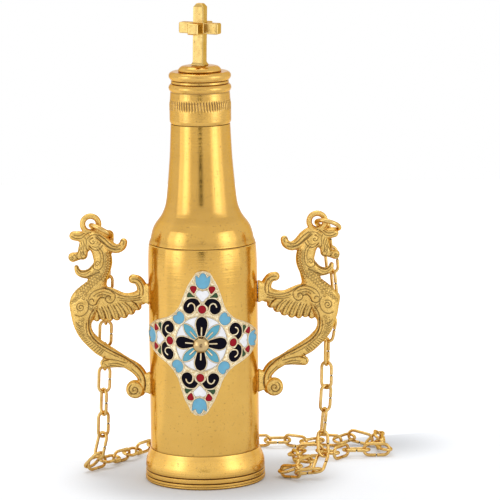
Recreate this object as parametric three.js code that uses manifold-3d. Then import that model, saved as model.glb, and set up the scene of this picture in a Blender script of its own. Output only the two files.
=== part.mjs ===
// Anointing oil bottle, brass: turned body, screw cap with a cross, two cast griffin handles with jump
// rings, a curved enamel plate and a carrying chain. Millimetres, +Z up, the plate faces -Y.
import * as THREE from 'three';
import { mergeVertices } from 'three/addons/utils/BufferGeometryUtils.js';
import Module from 'manifold-3d';

const wasm = await Module();
wasm.setup();

// Driving dimensions
const FOOT_R = 22.0;
const FOOT_TOP = 12.0;
const BODY_R = 20.0;
const BODY_TOP = 88.0;
const SHOULDER_TOP = 104.4;
const WALL = 1.0;
const NECK_BASE_R = 12.8;
const MOUTH_R = 10.84;
const NECK_TOP = 131.5;
const BASE_THICK = 2.9;
const SPIGOT_R = 9.4;
const SPIGOT_BOTTOM = 125.0;
const SPIGOT_TOP = 143.0;
const CAP_R = 11.2;
const CAP_TOP = 150.5;
const CAP_BORE_R = 9.9;
const LINER_R = 9.6;
const LINER_THICK = 1.9;
const SEAT = 0.1;
const DOME_R = 7.9;
const DOME_RISE = 2.0;
const CROSS_RISE = 22.5;
const CROSS_SPAN = 15.3;
const CROSS_BAR = 4.0;
const CROSS_BAR_SHARE = 0.6;
const CROSS_TURN = THREE.MathUtils.degToRad(21);
const PLATE_Z = 54.1;
const PLATE_REACH = 26.5;
const PLATE_ARCH = 1.05;
const PLATE_THICK = 0.9;
const PLATE_GAP = 0.4;
const PLATE_WRAP = THREE.MathUtils.degToRad(69.33);
const PLATE_TURN = THREE.MathUtils.degToRad(1.7);
const PLATE_LEAN = THREE.MathUtils.degToRad(2.2);
const BOSS_R = 2.9;
const BOSS_DROP = 0.3;
const FIT = 0.3;
const HANDLE_TILT = THREE.MathUtils.degToRad(0.55);
const HANDLE_SHIFT = 0.12;
const LEFT_DROP = 0.45;
const EYE_HOLE_R = 1.85;
const RING_R = 4.3;
const RING_WIRE = 0.8;
const LINK_LENGTH = 10.65;
const LINK_WIDTH = 5.3;
const LINK_WIRE = 0.95;
const LINK_PITCH = 8.4;
const TURNED_SIDES = 36;

// Closed shapes
const v3 = (x, y, z) => new THREE.Vector3(x, y, z);

// Turns the faces outward where a skin came out the wrong way round.
const outward = (geometry) => {
  const p = geometry.attributes.position;
  const index = Array.from(geometry.index.array);
  let volume = 0;
  for (let i = 0; i < index.length; i += 3) {
    const [a, b, c] = [index[i], index[i + 1], index[i + 2]].map((k) => v3(p.getX(k), p.getY(k), p.getZ(k)));
    volume += a.dot(b.cross(c));
  }
  if (volume < 0) index.reverse();
  geometry.setIndex(index);
  return geometry;
};

const welded = (geometry) => {
  const bare = geometry.clone();
  bare.deleteAttribute('normal');
  bare.deleteAttribute('uv');
  return outward(mergeVertices(bare, 1e-4));
};

const toSolid = (geometry) => {
  const closed = welded(geometry);
  const mesh = new wasm.Mesh({
    numProp: 3,
    vertProperties: new Float32Array(closed.attributes.position.array),
    triVerts: new Uint32Array(closed.index.array),
  });
  return new wasm.Manifold(mesh);
};

const toGeometry = (solid) => {
  const mesh = solid.getMesh();
  const geometry = new THREE.BufferGeometry();
  geometry.setAttribute('position', new THREE.BufferAttribute(mesh.vertProperties.slice(), 3));
  geometry.setIndex(new THREE.BufferAttribute(mesh.triVerts.slice(), 1));
  return geometry;
};

// Keeps the outer skin of a joined piece and fills the pinholes left between grown-together links.
const outerSkin = (geometry) => {
  const index = geometry.index.array;
  const parent = Array.from({ length: geometry.attributes.position.count }, (_, i) => i);
  const root = (i) => {
    let k = i;
    while (parent[k] !== k) k = parent[k];
    return k;
  };
  for (let i = 0; i < index.length; i += 3) {
    parent[root(index[i])] = root(index[i + 1]);
    parent[root(index[i + 1])] = root(index[i + 2]);
  }
  const shells = new Map();
  for (let i = 0; i < index.length; i += 3) {
    const key = root(index[i]);
    if (!shells.has(key)) shells.set(key, []);
    shells.get(key).push(index[i], index[i + 1], index[i + 2]);
  }
  const largest = [...shells.values()].sort((a, b) => b.length - a.length)[0];
  geometry.setIndex(largest);
  const loose = geometry.toNonIndexed();
  return mergeVertices(loose, 1e-6);
};

const joined = (geometries) => geometries.map(toSolid).reduce((a, b) => a.add(b));

// A turned piece about Z from [radius, height] pairs; a profile off the axis closes on itself.
const turned = (profile, sides = TURNED_SIDES) => {
  const points = profile.map(([r, z]) => new THREE.Vector2(r, z));
  const onAxis = profile[0][0] === 0;
  if (!onAxis) points.push(points[0].clone());
  const geometry = new THREE.LatheGeometry(points, sides);
  geometry.rotateX(Math.PI / 2);
  return welded(geometry);
};

// A skin through rings of equal count, either a closed loop or shut with a fan at both ends.
const skin = (rings, loop = false) => {
  const n = rings[0].length;
  const count = rings.length;
  const faces = [];
  for (let i = 0; i < (loop ? count : count - 1); i += 1) {
    for (let j = 0; j < n; j += 1) {
      const next = ((i + 1) % count) * n;
      const k = (j + 1) % n;
      faces.push(i * n + j, i * n + k, next + k, i * n + j, next + k, next + j);
    }
  }
  if (!loop) {
    const end = (count - 1) * n;
    for (let j = 1; j < n - 1; j += 1) faces.push(0, j + 1, j, end, end + j, end + j + 1);
  }
  const geometry = new THREE.BufferGeometry();
  const flat = rings.flat().flatMap((v) => [v.x, v.y, v.z]);
  geometry.setAttribute('position', new THREE.Float32BufferAttribute(flat, 3));
  geometry.setIndex(faces);
  return outward(geometry);
};

// Foot, tube, shoulder and neck
const PLATE_SEAT_R = FOOT_R - 2.8;
const footRing = turned([
  [FOOT_R - 0.5, 0], [FOOT_R, 0.6], [FOOT_R, 1.8], [FOOT_R - 0.5, 2.1], [FOOT_R - 0.1, 2.4], [FOOT_R - 0.1, 3.7],
  [FOOT_R - 0.55, 4.0], [FOOT_R - 0.18, 4.3], [FOOT_R - 0.14, 6.0], [FOOT_R - 0.33, 7.5], [FOOT_R - 0.8, 9.0],
  [FOOT_R - 1.35, 10.5], [BODY_R, FOOT_TOP], [BODY_R - WALL - SEAT, FOOT_TOP],
  [BODY_R - WALL - SEAT, FOOT_TOP + 3], [BODY_R - WALL - 1.3, FOOT_TOP + 3], [BODY_R - WALL - 1.3, 3],
  [PLATE_SEAT_R, 3], [PLATE_SEAT_R, 0],
]);
const basePlate = turned([
  [0, 0], [PLATE_SEAT_R - SEAT, 0], [PLATE_SEAT_R - SEAT, BASE_THICK], [0, BASE_THICK],
]);
const bodyTube = turned([
  [BODY_R, FOOT_TOP + SEAT], [BODY_R, BODY_TOP - 8], [BODY_R - 0.16, BODY_TOP - 4], [BODY_R - 0.6, BODY_TOP],
  [BODY_R - WALL - 0.6, BODY_TOP], [BODY_R - WALL, BODY_TOP - 6], [BODY_R - WALL, FOOT_TOP + SEAT],
]);
const COLLAR_R = BODY_R - WALL - 0.8;
const SHOULDER_FOOT = BODY_TOP + SEAT;
const upShoulder = (share) => SHOULDER_FOOT + share * (SHOULDER_TOP - SHOULDER_FOOT);
const upNeck = (share) => SHOULDER_TOP + share * (NECK_TOP - SHOULDER_TOP);
const shoulderNeck = turned([
  [COLLAR_R, SHOULDER_FOOT], [BODY_R - 0.8, SHOULDER_FOOT], [BODY_R - 1.16, upShoulder(0.095)],
  [BODY_R - 1.83, upShoulder(0.276)], [BODY_R - 2.83, upShoulder(0.411)], [BODY_R - 3.9, upShoulder(0.503)],
  [BODY_R - 5.1, upShoulder(0.595)], [BODY_R - 6.0, upShoulder(0.7055)], [BODY_R - 6.75, upShoulder(0.853)],
  [NECK_BASE_R, SHOULDER_TOP], [NECK_BASE_R - 0.55, upNeck(0.19)], [NECK_BASE_R - 1.14, upNeck(0.4355)],
  [NECK_BASE_R - 1.58, upNeck(0.679)], [MOUTH_R, NECK_TOP], [SPIGOT_R + SEAT, NECK_TOP],
  [SPIGOT_R + SEAT, SPIGOT_BOTTOM - SEAT], [NECK_BASE_R - 2.2, upNeck(0.5575)], [NECK_BASE_R - 1.4, upNeck(0.096)],
  [NECK_BASE_R - 0.7, upShoulder(0.877)], [BODY_R - 7.0, upShoulder(0.693)], [BODY_R - 4.6, upShoulder(0.4785)],
  [BODY_R - 3.0, upShoulder(0.2515)], [COLLAR_R - 0.9, upShoulder(0.147)], [COLLAR_R - 0.9, BODY_TOP - 3],
  [COLLAR_R, BODY_TOP - 3],
]);
const neckSpigot = turned([
  [SPIGOT_R, SPIGOT_BOTTOM], [SPIGOT_R, SPIGOT_TOP], [SPIGOT_R - WALL, SPIGOT_TOP],
  [SPIGOT_R - WALL, SPIGOT_BOTTOM],
]);

// Cap, liner, dome and cross
const LINER_TOP = SPIGOT_TOP + SEAT + LINER_THICK;
const CAP_BOTTOM = NECK_TOP + 0.2;
const upCap = (share) => CAP_BOTTOM + share * (CAP_TOP - CAP_BOTTOM);
const capShell = turned([
  [0, CAP_TOP], [CAP_R - 0.9, CAP_TOP], [CAP_R + 0.16, upCap(0.923)], [CAP_R - 0.1, upCap(0.8725)],
  [CAP_R - 0.85, upCap(0.8245)], [CAP_R - 0.85, upCap(0.782)], [CAP_R + 0.05, upCap(0.7287)],
  [CAP_R + 0.23, upCap(0.6915)], [CAP_R - 0.4, upCap(0.6117)], [CAP_R - 0.34, upCap(0.5745)],
  [CAP_R - 0.1, upCap(0.399)], [CAP_R, upCap(0.3457)], [CAP_R, upCap(0.0585)], [CAP_R - 0.4, CAP_BOTTOM],
  [CAP_BORE_R, CAP_BOTTOM], [CAP_BORE_R, LINER_TOP + SEAT], [0, LINER_TOP + SEAT],
]);
const capLiner = turned([
  [0, SPIGOT_TOP + SEAT], [LINER_R, SPIGOT_TOP + SEAT], [LINER_R, LINER_TOP], [0, LINER_TOP],
]);
const DOME_Z = CAP_TOP + SEAT;
const DOME_TOP = DOME_Z + DOME_RISE;
const capDome = turned([
  [0, DOME_Z], [DOME_R, DOME_Z], [DOME_R, DOME_Z + 0.5], [DOME_R - 1.5, DOME_Z + 1.4], [DOME_R - 2.6, DOME_Z + 1.7],
  [DOME_R - 2.8, DOME_TOP], [0, DOME_TOP],
]);

// A square bar through [half width, distance] stations along one axis.
const squareBar = (stations, place) => skin(stations.map(([h, s]) => (
  [[-h, -h], [h, -h], [h, h], [-h, h]].map(([a, b]) => place(a, b, s))
)));
const crossGeometry = () => {
  const half = CROSS_BAR / 2;
  const foot = DOME_TOP + SEAT;
  const top = foot + CROSS_RISE;
  const barZ = foot + CROSS_RISE * CROSS_BAR_SHARE;
  const upright = [[half + 0.9, foot], [half + 0.8, foot + 0.5], [half, foot + 1.5], [half, top - 1.2],
    [half - 1.0, top]];
  const reach = CROSS_SPAN / 2;
  const arm = [[half - 0.35, -reach], [half, -reach + 0.4], [half, reach - 0.4], [half - 0.35, reach]];
  const solid = joined([
    squareBar(upright, (a, b, s) => v3(a, b, s)),
    squareBar(arm, (a, b, s) => v3(s, a, barZ + b)),
    squareBar(arm, (a, b, s) => v3(a, s, barZ + b)),
  ]);
  return toGeometry(solid).rotateZ(-CROSS_TURN);
};

// Enamel plate, a four-lobed star bent round the tube, and its boss. It was set by hand: it leans a
// little, and its side lobes arch up.
const LOBE = [[0, 1], [0.07, 0.986], [0.125, 0.94], [0.168, 0.87], [0.21, 0.785], [0.267, 0.635], [0.325, 0.5]];
const CORNER = 0.4;
const starOutline = () => {
  const quarter = [...LOBE, [CORNER, CORNER], ...LOBE.slice(1).reverse().map(([a, b]) => [b, a])];
  const points = [];
  for (let q = 0; q < 4; q += 1) {
    const c = Math.round(Math.cos((q * Math.PI) / 2));
    const s = Math.round(Math.sin((q * Math.PI) / 2));
    quarter.forEach(([a, b]) => points.push([c * a + s * b, c * b - s * a]));
  }
  return points;
};
const enamelPlate = () => {
  const inner = BODY_R + PLATE_GAP;
  const outer = inner + PLATE_THICK;
  const bent = (u, w, r) => {
    const across = u * PLATE_WRAP * BODY_R;
    const up = w * PLATE_REACH + u * u * PLATE_ARCH;
    const leanedAcross = across * Math.cos(PLATE_LEAN) + up * Math.sin(PLATE_LEAN);
    const leanedUp = up * Math.cos(PLATE_LEAN) - across * Math.sin(PLATE_LEAN);
    const a = leanedAcross / BODY_R - PLATE_TURN;
    return v3(r * Math.sin(a), -r * Math.cos(a), PLATE_Z + leanedUp);
  };
  const outline = starOutline();
  const ring = (scale, r) => outline.map(([u, w]) => bent(u * scale, w * scale, r));
  const steps = [0.04, 0.22, 0.42, 0.62, 0.81, 1];
  return skin([...steps.map((k) => ring(k, inner)), ...steps.reverse().map((k) => ring(k, outer))]);
};
const centreBoss = () => {
  const seat = BODY_R + PLATE_GAP + PLATE_THICK + SEAT;
  const profile = [[0, 0], [BOSS_R - 0.5, 0], [BOSS_R, 0.7], [BOSS_R - 0.2, 1.6], [BOSS_R - 0.9, 2.5],
    [BOSS_R - 1.8, 3.05], [0, 3.3]];
  const ball = turned(profile, 16);
  ball.rotateX(Math.PI / 2);
  ball.translate(0, -seat, PLATE_Z - BOSS_DROP);
  ball.rotateZ(-PLATE_TURN);
  return ball;
};

// Griffin handles: strokes of [distance out, height, half width, half depth]. The pattern was drawn
// against a tube of PATTERN_R, and each casting moves out or in with the tube it is set on.
const PATTERN_R = 20.0;
const HANDLE_OUT = BODY_R - PATTERN_R;
const TILT_HEIGHT = 35.0;
const TRUNK = [[39.5, 71.5, 4.2, 2.6], [43, 66.5, 5.9, 3.0], [44, 63, 5.3, 3.0], [44.6, 58.5, 3.5, 2.6],
  [43.3, 54.5, 2.75, 2.4], [40.5, 51.2, 2.6, 2.3], [37.4, 48.7, 2.7, 2.2], [33.2, 46.3, 2.4, 2.1],
  [29, 43.9, 2.1, 2.0], [24.9, 41.3, 2.2, 2.0], [22.8, 38.3, 2.0, 2.0], [22.4, 35.2, 1.8, 2.0],
  [23.4, 32.7, 1.5, 1.8]];
const LEAF = [[28.5, 42.6, 0.9, 1.3], [32.5, 43.6, 1.5, 1.5], [36.6, 43.9, 1.6, 1.4]];
const NECK = [[39.3, 73, 3.5, 2.5], [38.3, 77.2, 3.3, 2.5], [37, 81, 3.25, 2.5], [37.7, 85, 3.3, 2.5],
  [39.3, 88.3, 3.2, 2.4]];
const CREST = [[29.6, 88.7, 1.35, 1.2], [30.2, 87.2, 1.5, 1.4], [32, 86.4, 1.65, 1.5], [34.5, 87.4, 2, 1.7],
  [37, 89.7, 2.3, 1.9], [39.5, 91.2, 2.4, 2.0]];
const BROW = [[42, 89.5, 2.5, 1.9], [45, 90.6, 2, 1.6], [47.4, 90.9, 1.75, 1.5]];
const MUZZLE = [[42.5, 88.5, 3.0, 1.9], [44, 85.8, 2.0, 1.6], [44.3, 83.9, 1.9, 1.6]];
const TONGUE = [[45.3, 83.5, 1.4, 1.5], [48.0, 83, 1.85, 1.8]];
const JAW = [[38.5, 80, 2, 2.2], [41, 77.4, 1.9, 2.0], [43.7, 76.7, 1.55, 1.8], [45.9, 77.5, 1.2, 1.5],
  [46.6, 79.4, 0.65, 1.0]];
const WING_TIP = [[22.6, 70.5, 2.0, 1.7], [22.9, 72.5, 1.9, 1.7], [24.2, 74.4, 1.75, 1.6], [25.9, 74.9, 1.75, 1.6]];
const WING = [[19.6, 65.8], [19.6, 73.0], [22.5, 72], [25.6, 70.3], [27.5, 69.8], [30.2, 69.9], [32.8, 71.1],
  [35.5, 72.7], [39, 72.5], [42, 66], [41.3, 58.5], [39.5, 58.9], [37.6, 59.9], [35.5, 59.3], [33.5, 59.5],
  [30.5, 60.0], [27.5, 61.4], [25, 62.8], [23.3, 63.5], [21.8, 65.7]];
const WING_HALF = 1.9;
const SCROLL = [25.5, 33.8, 3.4, 2.3];
const EYELET = [41.3, 95.2, 4.0, 1.05];
const PADS = [[65.6, 73.2], [32.2, 40.1]];
const PAD_HALF = 2.2;

// One modelled stroke: an oval section swept along the points, drawn in a little at both ends.
const stroke = (points, sides = 8) => {
  const at = points.map(([x, z]) => v3(x, 0, z));
  const along = at.map((p, i) => at[Math.min(i + 1, at.length - 1)].clone().sub(at[Math.max(i - 1, 0)]).normalize());
  const section = (centre, direction, w, d) => {
    const across = v3(-direction.z, 0, direction.x);
    return Array.from({ length: sides }, (_, k) => {
      const a = ((k + 0.5) / sides) * 2 * Math.PI;
      return centre.clone().addScaledVector(across, w * Math.cos(a)).add(v3(0, d * Math.sin(a), 0));
    });
  };
  const rings = points.map(([, , w, d], i) => section(at[i], along[i], w, d));
  const tip = (i, sign) => {
    const [, , w, d] = points[i];
    return section(at[i].clone().addScaledVector(along[i], sign * w * 0.8), along[i], w * 0.55, d * 0.55);
  };
  return skin([tip(0, -1), ...rings, tip(points.length - 1, 1)]);
};

// A piece turned about an axis along Y, from [radius, y] pairs.
const turnedAcross = (profile, x, z, sides = 16) => turned(profile, sides).rotateX(Math.PI / 2).translate(x, 0, z);

const slab = (outline, half) => {
  const shape = new THREE.Shape(outline.map(([x, z]) => new THREE.Vector2(x, z)));
  const geometry = new THREE.ExtrudeGeometry(shape, { depth: half * 2, bevelEnabled: false });
  geometry.translate(0, 0, -half);
  return geometry.rotateX(Math.PI / 2);
};

const bottleCutter = () => {
  const r = BODY_R + FIT;
  return toSolid(turned([[0, FOOT_TOP], [r, FOOT_TOP], [r, NECK_TOP], [0, NECK_TOP]], 80));
};

const griffin = (side) => {
  const [sx, sz, sr, sh] = SCROLL;
  const [ex, ez, er, eh] = EYELET;
  const scroll = [[0, -sh], [sr * 0.75, -sh], [sr, -sh * 0.5], [sr, sh * 0.5], [sr * 0.75, sh], [0, sh]];
  const eyelet = [[EYE_HOLE_R, -eh * 0.5], [EYE_HOLE_R + 0.45, -eh], [er - 0.5, -eh], [er, -eh * 0.4],
    [er, eh * 0.4], [er - 0.5, eh], [EYE_HOLE_R + 0.45, eh], [EYE_HOLE_R, eh * 0.5]];
  const strokes = [TRUNK, LEAF, NECK, CREST, BROW, MUZZLE, TONGUE, JAW, WING_TIP].map((s) => stroke(s));
  const pads = PADS.map(([low, high]) => slab([[19.4, low], [19.4, high], [21.2, high], [21.2, low]], PAD_HALF));
  const casting = joined([
    ...strokes,
    slab(WING, WING_HALF),
    turnedAcross(scroll, sx, sz),
    turnedAcross(eyelet, ex, ez, 20),
    ...pads,
  ]);
  const hole = toSolid(turnedAcross([[0, -4], [EYE_HOLE_R, -4], [EYE_HOLE_R, 4], [0, 4]], ex, ez, 20));
  const place = new THREE.Matrix4()
    .makeTranslation(BODY_R + HANDLE_SHIFT * side, 0, TILT_HEIGHT - (side < 0 ? LEFT_DROP : 0))
    .multiply(new THREE.Matrix4().makeRotationY(HANDLE_TILT * side))
    .multiply(new THREE.Matrix4().makeTranslation(-PATTERN_R, 0, -TILT_HEIGHT));
  const geometry = toGeometry(casting.subtract(hole)).applyMatrix4(place);
  if (side < 0) geometry.applyMatrix4(new THREE.Matrix4().makeScale(-1, 1, 1));
  return toGeometry(toSolid(geometry).subtract(bottleCutter()));
};

// Jump rings: [centre x, centre z, reach x, reach z, droop of the far side in degrees]
const RINGS = { left: [-36.8, 92.42, 9, -5.0, 17], right: [45.9, 93.6, 10.5, -3, 26] };
const jumpRing = ([cx, cz, ax, az, droop]) => {
  const e1 = v3(ax, 0, az).normalize();
  const back = THREE.MathUtils.degToRad(droop);
  const across = v3(0, 1, 0).cross(e1).normalize();
  const down = across.z < 0 ? across : across.negate();
  const e2 = v3(0, Math.cos(back), 0).addScaledVector(down, Math.sin(back));
  const normal = e1.clone().cross(e2);
  const ring = new THREE.TorusGeometry(RING_R, RING_WIRE, 6, 24);
  ring.applyMatrix4(new THREE.Matrix4().makeBasis(e1, e2, normal));
  return welded(ring.translate(cx + Math.sign(cx) * HANDLE_OUT, 0, cz));
};

// Chain: the points where one link hooks into the next, with the chain's own twist in degrees.
// It hangs from the left ring, lies round the back of the foot, folds into a heap on the right and
// rises to the right ring. Where two points are farther apart than a link, links fill the way evenly.
const HOOKS = [
  [-34.6, 3.15, 91.07, -45], [-34.9, 5.6, 83.0, -30], [-36.0, 6.2, 57.4, 0], [-37.5, 6.2, 23.2, -32],
  [-37.8, 7.2, 14.7, -34], [-39.6, 7.0, 7.2, -55], [-43.1, 10.2, 2.9, -30], [-38.2, 16.4, 3.0, 0],
  [-29.8, 28.5, 2.6, 0], [-26.3, 36.0, 2.7, 0], [-21.6, 42.8, 2.8, 0], [-6.8, 49.4, 2.5, -4], [23.2, 48.2, 2.8, 0],
  [30.8, 48.4, 2.8, 0], [37.2, 44.6, 2.7, -11], [43.2, 48.2, 2.8, 0], [50.2, 46.2, 2.8, 0],
  [54.9, 50.5, 3.4, 18], [62.7, 47.8, 1.7, -17], [66.1, 53.8, 3.6, -4], [66.0, 38.2, 3.0, 20],
  [68.0, 30.4, 2.7, 45], [52.8, 30.0, 2.8, 45], [48.8, 24.4, 2.8, 45], [42.6, 30.4, 2.8, 45],
  [35.6, 30.0, 2.8, 45], [32.8, 23.0, 2.8, 45], [34.6, 15.2, 3.0, 45], [38.8, 8.6, 3.4, 40],
  [34.2, 2.2, 3.2, 40], [28.4, -2.8, 2.4, 50], [34.4, -8.5, 3.4, 40], [41.2, -6.7, 3.5, -10],
  [43.5, -0.5, 8.0, -50], [43.4, 3.0, 15.6, -85], [44.3, 3.0, 24.2, -80], [44.9, 3.3, 32.8, -50],
  [45.3, 4.5, 50.0, -15], [46.9, 4.8, 58.5, -40], [48.4, 5.0, 67.0, -75], [46.9, 5.6, 84.1, -90],
  [46.3, 4.1, 92.6, -90],
];
const HEAP_FROM = 17;
const HEAP_TO = 32;
const LINK_BENDS = 5;
const LINK_SIDES = 4;

const evenHooks = () => {
  const hooks = HOOKS.map(([x, y, z, twist]) => ({ at: v3(x + Math.sign(x) * HANDLE_OUT, y, z), twist }));
  const out = [{ ...hooks[0], point: 0 }];
  hooks.slice(1).forEach(({ at: to, twist }, k) => {
    const from = out[out.length - 1];
    const steps = Math.max(1, Math.round(from.at.distanceTo(to) / LINK_PITCH));
    for (let s = 1; s <= steps; s += 1) {
      const at = from.at.clone().lerp(to, s / steps);
      out.push({ at, twist: from.twist + ((twist - from.twist) * s) / steps, point: k + s / steps });
    }
  });
  return out;
};

// Each link: its middle, its long direction, the direction across it, and its own reach.
const laidLinks = () => {
  const hooks = evenHooks();
  const links = [];
  let normal = v3(0, -1, 0);
  let before = null;
  for (let i = 0; i + 1 < hooks.length; i += 1) {
    const a = hooks[i];
    const b = hooks[i + 1];
    const along = b.at.clone().sub(a.at).normalize();
    if (before) normal.applyQuaternion(new THREE.Quaternion().setFromUnitVectors(before, along));
    normal.addScaledVector(along, -normal.dot(along)).normalize();
    const turn = THREE.MathUtils.degToRad((a.twist + b.twist) / 2 + 90 * (i % 2));
    const face = normal.clone().applyAxisAngle(along, turn);
    const across = face.clone().cross(along);
    links.push({ middle: a.at.clone().lerp(b.at, 0.5), along, across, face, from: a, to: b });
    before = along;
  }
  return links;
};

const linkSkin = (link, startReach, endReach) => {
  const bend = (LINK_WIDTH - LINK_WIRE) / 2;
  const r = LINK_WIRE / 2;
  const centres = [];
  [[endReach - r - bend, 1], [startReach - r - bend, -1]].forEach(([reach, sign]) => {
    for (let k = 0; k < LINK_BENDS; k += 1) {
      const a = -Math.PI / 2 + (Math.PI * k) / (LINK_BENDS - 1);
      const out = [sign * Math.cos(a), sign * Math.sin(a)];
      centres.push({ c: [sign * reach + bend * out[0], bend * out[1]], out });
    }
  });
  const point = ([s, w]) => link.middle.clone().addScaledVector(link.along, s).addScaledVector(link.across, w);
  const direction = ([s, w]) => v3(0, 0, 0).addScaledVector(link.along, s).addScaledVector(link.across, w);
  const rings = centres.map(({ c, out }) => Array.from({ length: LINK_SIDES }, (_, k) => {
    const a = (2 * Math.PI * (k + 0.5)) / LINK_SIDES;
    return point(c).addScaledVector(direction(out), r * Math.cos(a)).addScaledVector(link.face, r * Math.sin(a));
  }));
  const lowest = Math.min(...rings.flat().map((p) => p.z));
  const lift = Math.max(0, 0.05 - lowest);
  rings.flat().forEach((p) => { p.z += lift; });
  return skin(rings, true);
};

// Free links keep their play; in the heap the links are drawn shorter and grown together where they hook.
const chainPieces = () => {
  const links = laidLinks();
  const inHeap = (link) => link.to.point > HEAP_FROM - 0.99 && link.from.point < HEAP_TO + 0.99;
  const free = [];
  const heap = [];
  const heapLinks = links.filter(inHeap);
  links.forEach((link) => {
    const half = LINK_LENGTH / 2;
    if (!inHeap(link)) {
      free.push(linkSkin(link, half, half));
      return;
    }
    const grown = link.from.at.distanceTo(link.to.at) / 2 + LINK_WIRE * 0.92;
    const first = link === heapLinks[0];
    const last = link === heapLinks[heapLinks.length - 1];
    heap.push(linkSkin(link, first ? half : grown, last ? half : grown));
  });
  return { free, heap: outerSkin(toGeometry(joined(heap))) };
};

// Colours and the finished object
const GOLD = { color: 0xd9a441, roughness: 0.32, metalness: 1.0 };
const GOLD_CAST = { color: 0xcf9a3c, roughness: 0.42, metalness: 1.0 };
const GOLD_WIRE = { color: 0xdcae55, roughness: 0.3, metalness: 1.0 };
const ENAMEL = { color: 0xf4f2ee, roughness: 0.2, metalness: 0.0 };
const LINER = { color: 0xe8e4da, roughness: 0.7, metalness: 0.0 };

const bottle = new THREE.Group();
bottle.name = 'anointing_oil_bottle';
const add = (name, geometry, look) => {
  const mesh = new THREE.Mesh(geometry, new THREE.MeshStandardMaterial(look));
  mesh.name = name;
  bottle.add(mesh);
};

add('foot_ring', footRing, GOLD);
add('base_plate', basePlate, GOLD);
add('body_tube', bodyTube, GOLD);
add('shoulder_neck', shoulderNeck, GOLD);
add('neck_spigot', neckSpigot, GOLD);
add('cap_shell', capShell, GOLD);
add('cap_liner', capLiner, LINER);
add('cap_dome', capDome, GOLD);
add('cross', crossGeometry(), GOLD);
add('enamel_plate', enamelPlate(), ENAMEL);
add('centre_boss', centreBoss(), GOLD_WIRE);
add('griffin_left', griffin(-1), GOLD_CAST);
add('griffin_right', griffin(1), GOLD_CAST);
add('jump_ring_left', jumpRing(RINGS.left), GOLD_WIRE);
add('jump_ring_right', jumpRing(RINGS.right), GOLD_WIRE);
const chain = chainPieces();
chain.free.forEach((geometry, i) => add(`link_${String(i + 1).padStart(2, '0')}`, geometry, GOLD_WIRE));
add('chain_heap', chain.heap, GOLD_WIRE);

export default bottle;
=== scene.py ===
"""Anointing oil bottle: turned and polished brass, a screw cap with a cross, two cast griffin handles,
a curved medallion of enamel cells and a carrying chain. Metres, +Z up, the medallion faces -Y."""
import math

import bmesh
import bpy
import numpy as np
from mathutils import Matrix, Vector


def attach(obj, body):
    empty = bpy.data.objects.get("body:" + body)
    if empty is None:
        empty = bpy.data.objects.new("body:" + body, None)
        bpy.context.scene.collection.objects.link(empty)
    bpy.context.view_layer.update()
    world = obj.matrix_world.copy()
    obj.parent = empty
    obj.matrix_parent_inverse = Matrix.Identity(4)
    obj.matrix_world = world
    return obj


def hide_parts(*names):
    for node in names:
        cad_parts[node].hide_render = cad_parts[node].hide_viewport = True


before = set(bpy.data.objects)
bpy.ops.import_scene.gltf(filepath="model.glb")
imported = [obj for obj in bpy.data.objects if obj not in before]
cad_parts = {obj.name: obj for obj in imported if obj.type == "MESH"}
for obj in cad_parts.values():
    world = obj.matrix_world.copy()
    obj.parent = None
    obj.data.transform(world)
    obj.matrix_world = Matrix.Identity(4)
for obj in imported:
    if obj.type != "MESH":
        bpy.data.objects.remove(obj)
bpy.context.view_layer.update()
MM = 0.001

# Camera: it stands in front of the bottle and looks a little down on it, slightly rolled, so that the
# bottle leans to the left in the picture as it does in the photograph.
VIEW_CENTRE = Vector((0.0174, 0.0, 0.08466))
VIEW_DISTANCE = 1.2629
VIEW_PITCH = math.radians(9.4)
VIEW_ROLL = math.radians(0.71)
VIEW_LENS = 249.1

view_ahead = Vector((0, math.cos(VIEW_PITCH), -math.sin(VIEW_PITCH)))
view_level = Vector((1, 0, 0))
view_upright = Vector((0, math.sin(VIEW_PITCH), math.cos(VIEW_PITCH)))
view_right = math.cos(VIEW_ROLL) * view_level - math.sin(VIEW_ROLL) * view_upright
view_up = math.sin(VIEW_ROLL) * view_level + math.cos(VIEW_ROLL) * view_upright
camera = bpy.data.objects.new("camera", bpy.data.cameras.new("camera"))
camera.data.lens = VIEW_LENS
camera.data.clip_start = 0.01
camera.data.clip_end = 20
turned_view = Matrix((view_right, view_up, -view_ahead)).transposed().to_4x4()
camera.matrix_world = Matrix.Translation(VIEW_CENTRE - VIEW_DISTANCE * view_ahead) @ turned_view
bpy.context.scene.collection.objects.link(camera)
bpy.context.scene.camera = camera
bpy.context.scene.view_settings.view_transform = "Standard"

# Chain: 55 oval links of round brass wire, each bent, butted shut and hooked through the next. It hangs
# from the left ring, lies round behind the foot, folds into a heap and rises to the right ring.
LINK_LENGTH = 0.0108
LINK_WIDTH = 0.0054
LINK_WIRE = 0.00117
LINK_PITCH = 0.0084
LINK_BEND_STEPS = 12
LINK_STRAIGHT = (-0.5, -0.09, -0.04, 0.04, 0.09, 0.5)
LINK_SEAM_DEPTH = 0.5
LINK_SIDES = 12
# The seam's half length as a share of the straight side, and the least gap between a link and the floor.
LINK_SEAM = 0.06
LINK_REST = 0.00005
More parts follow.
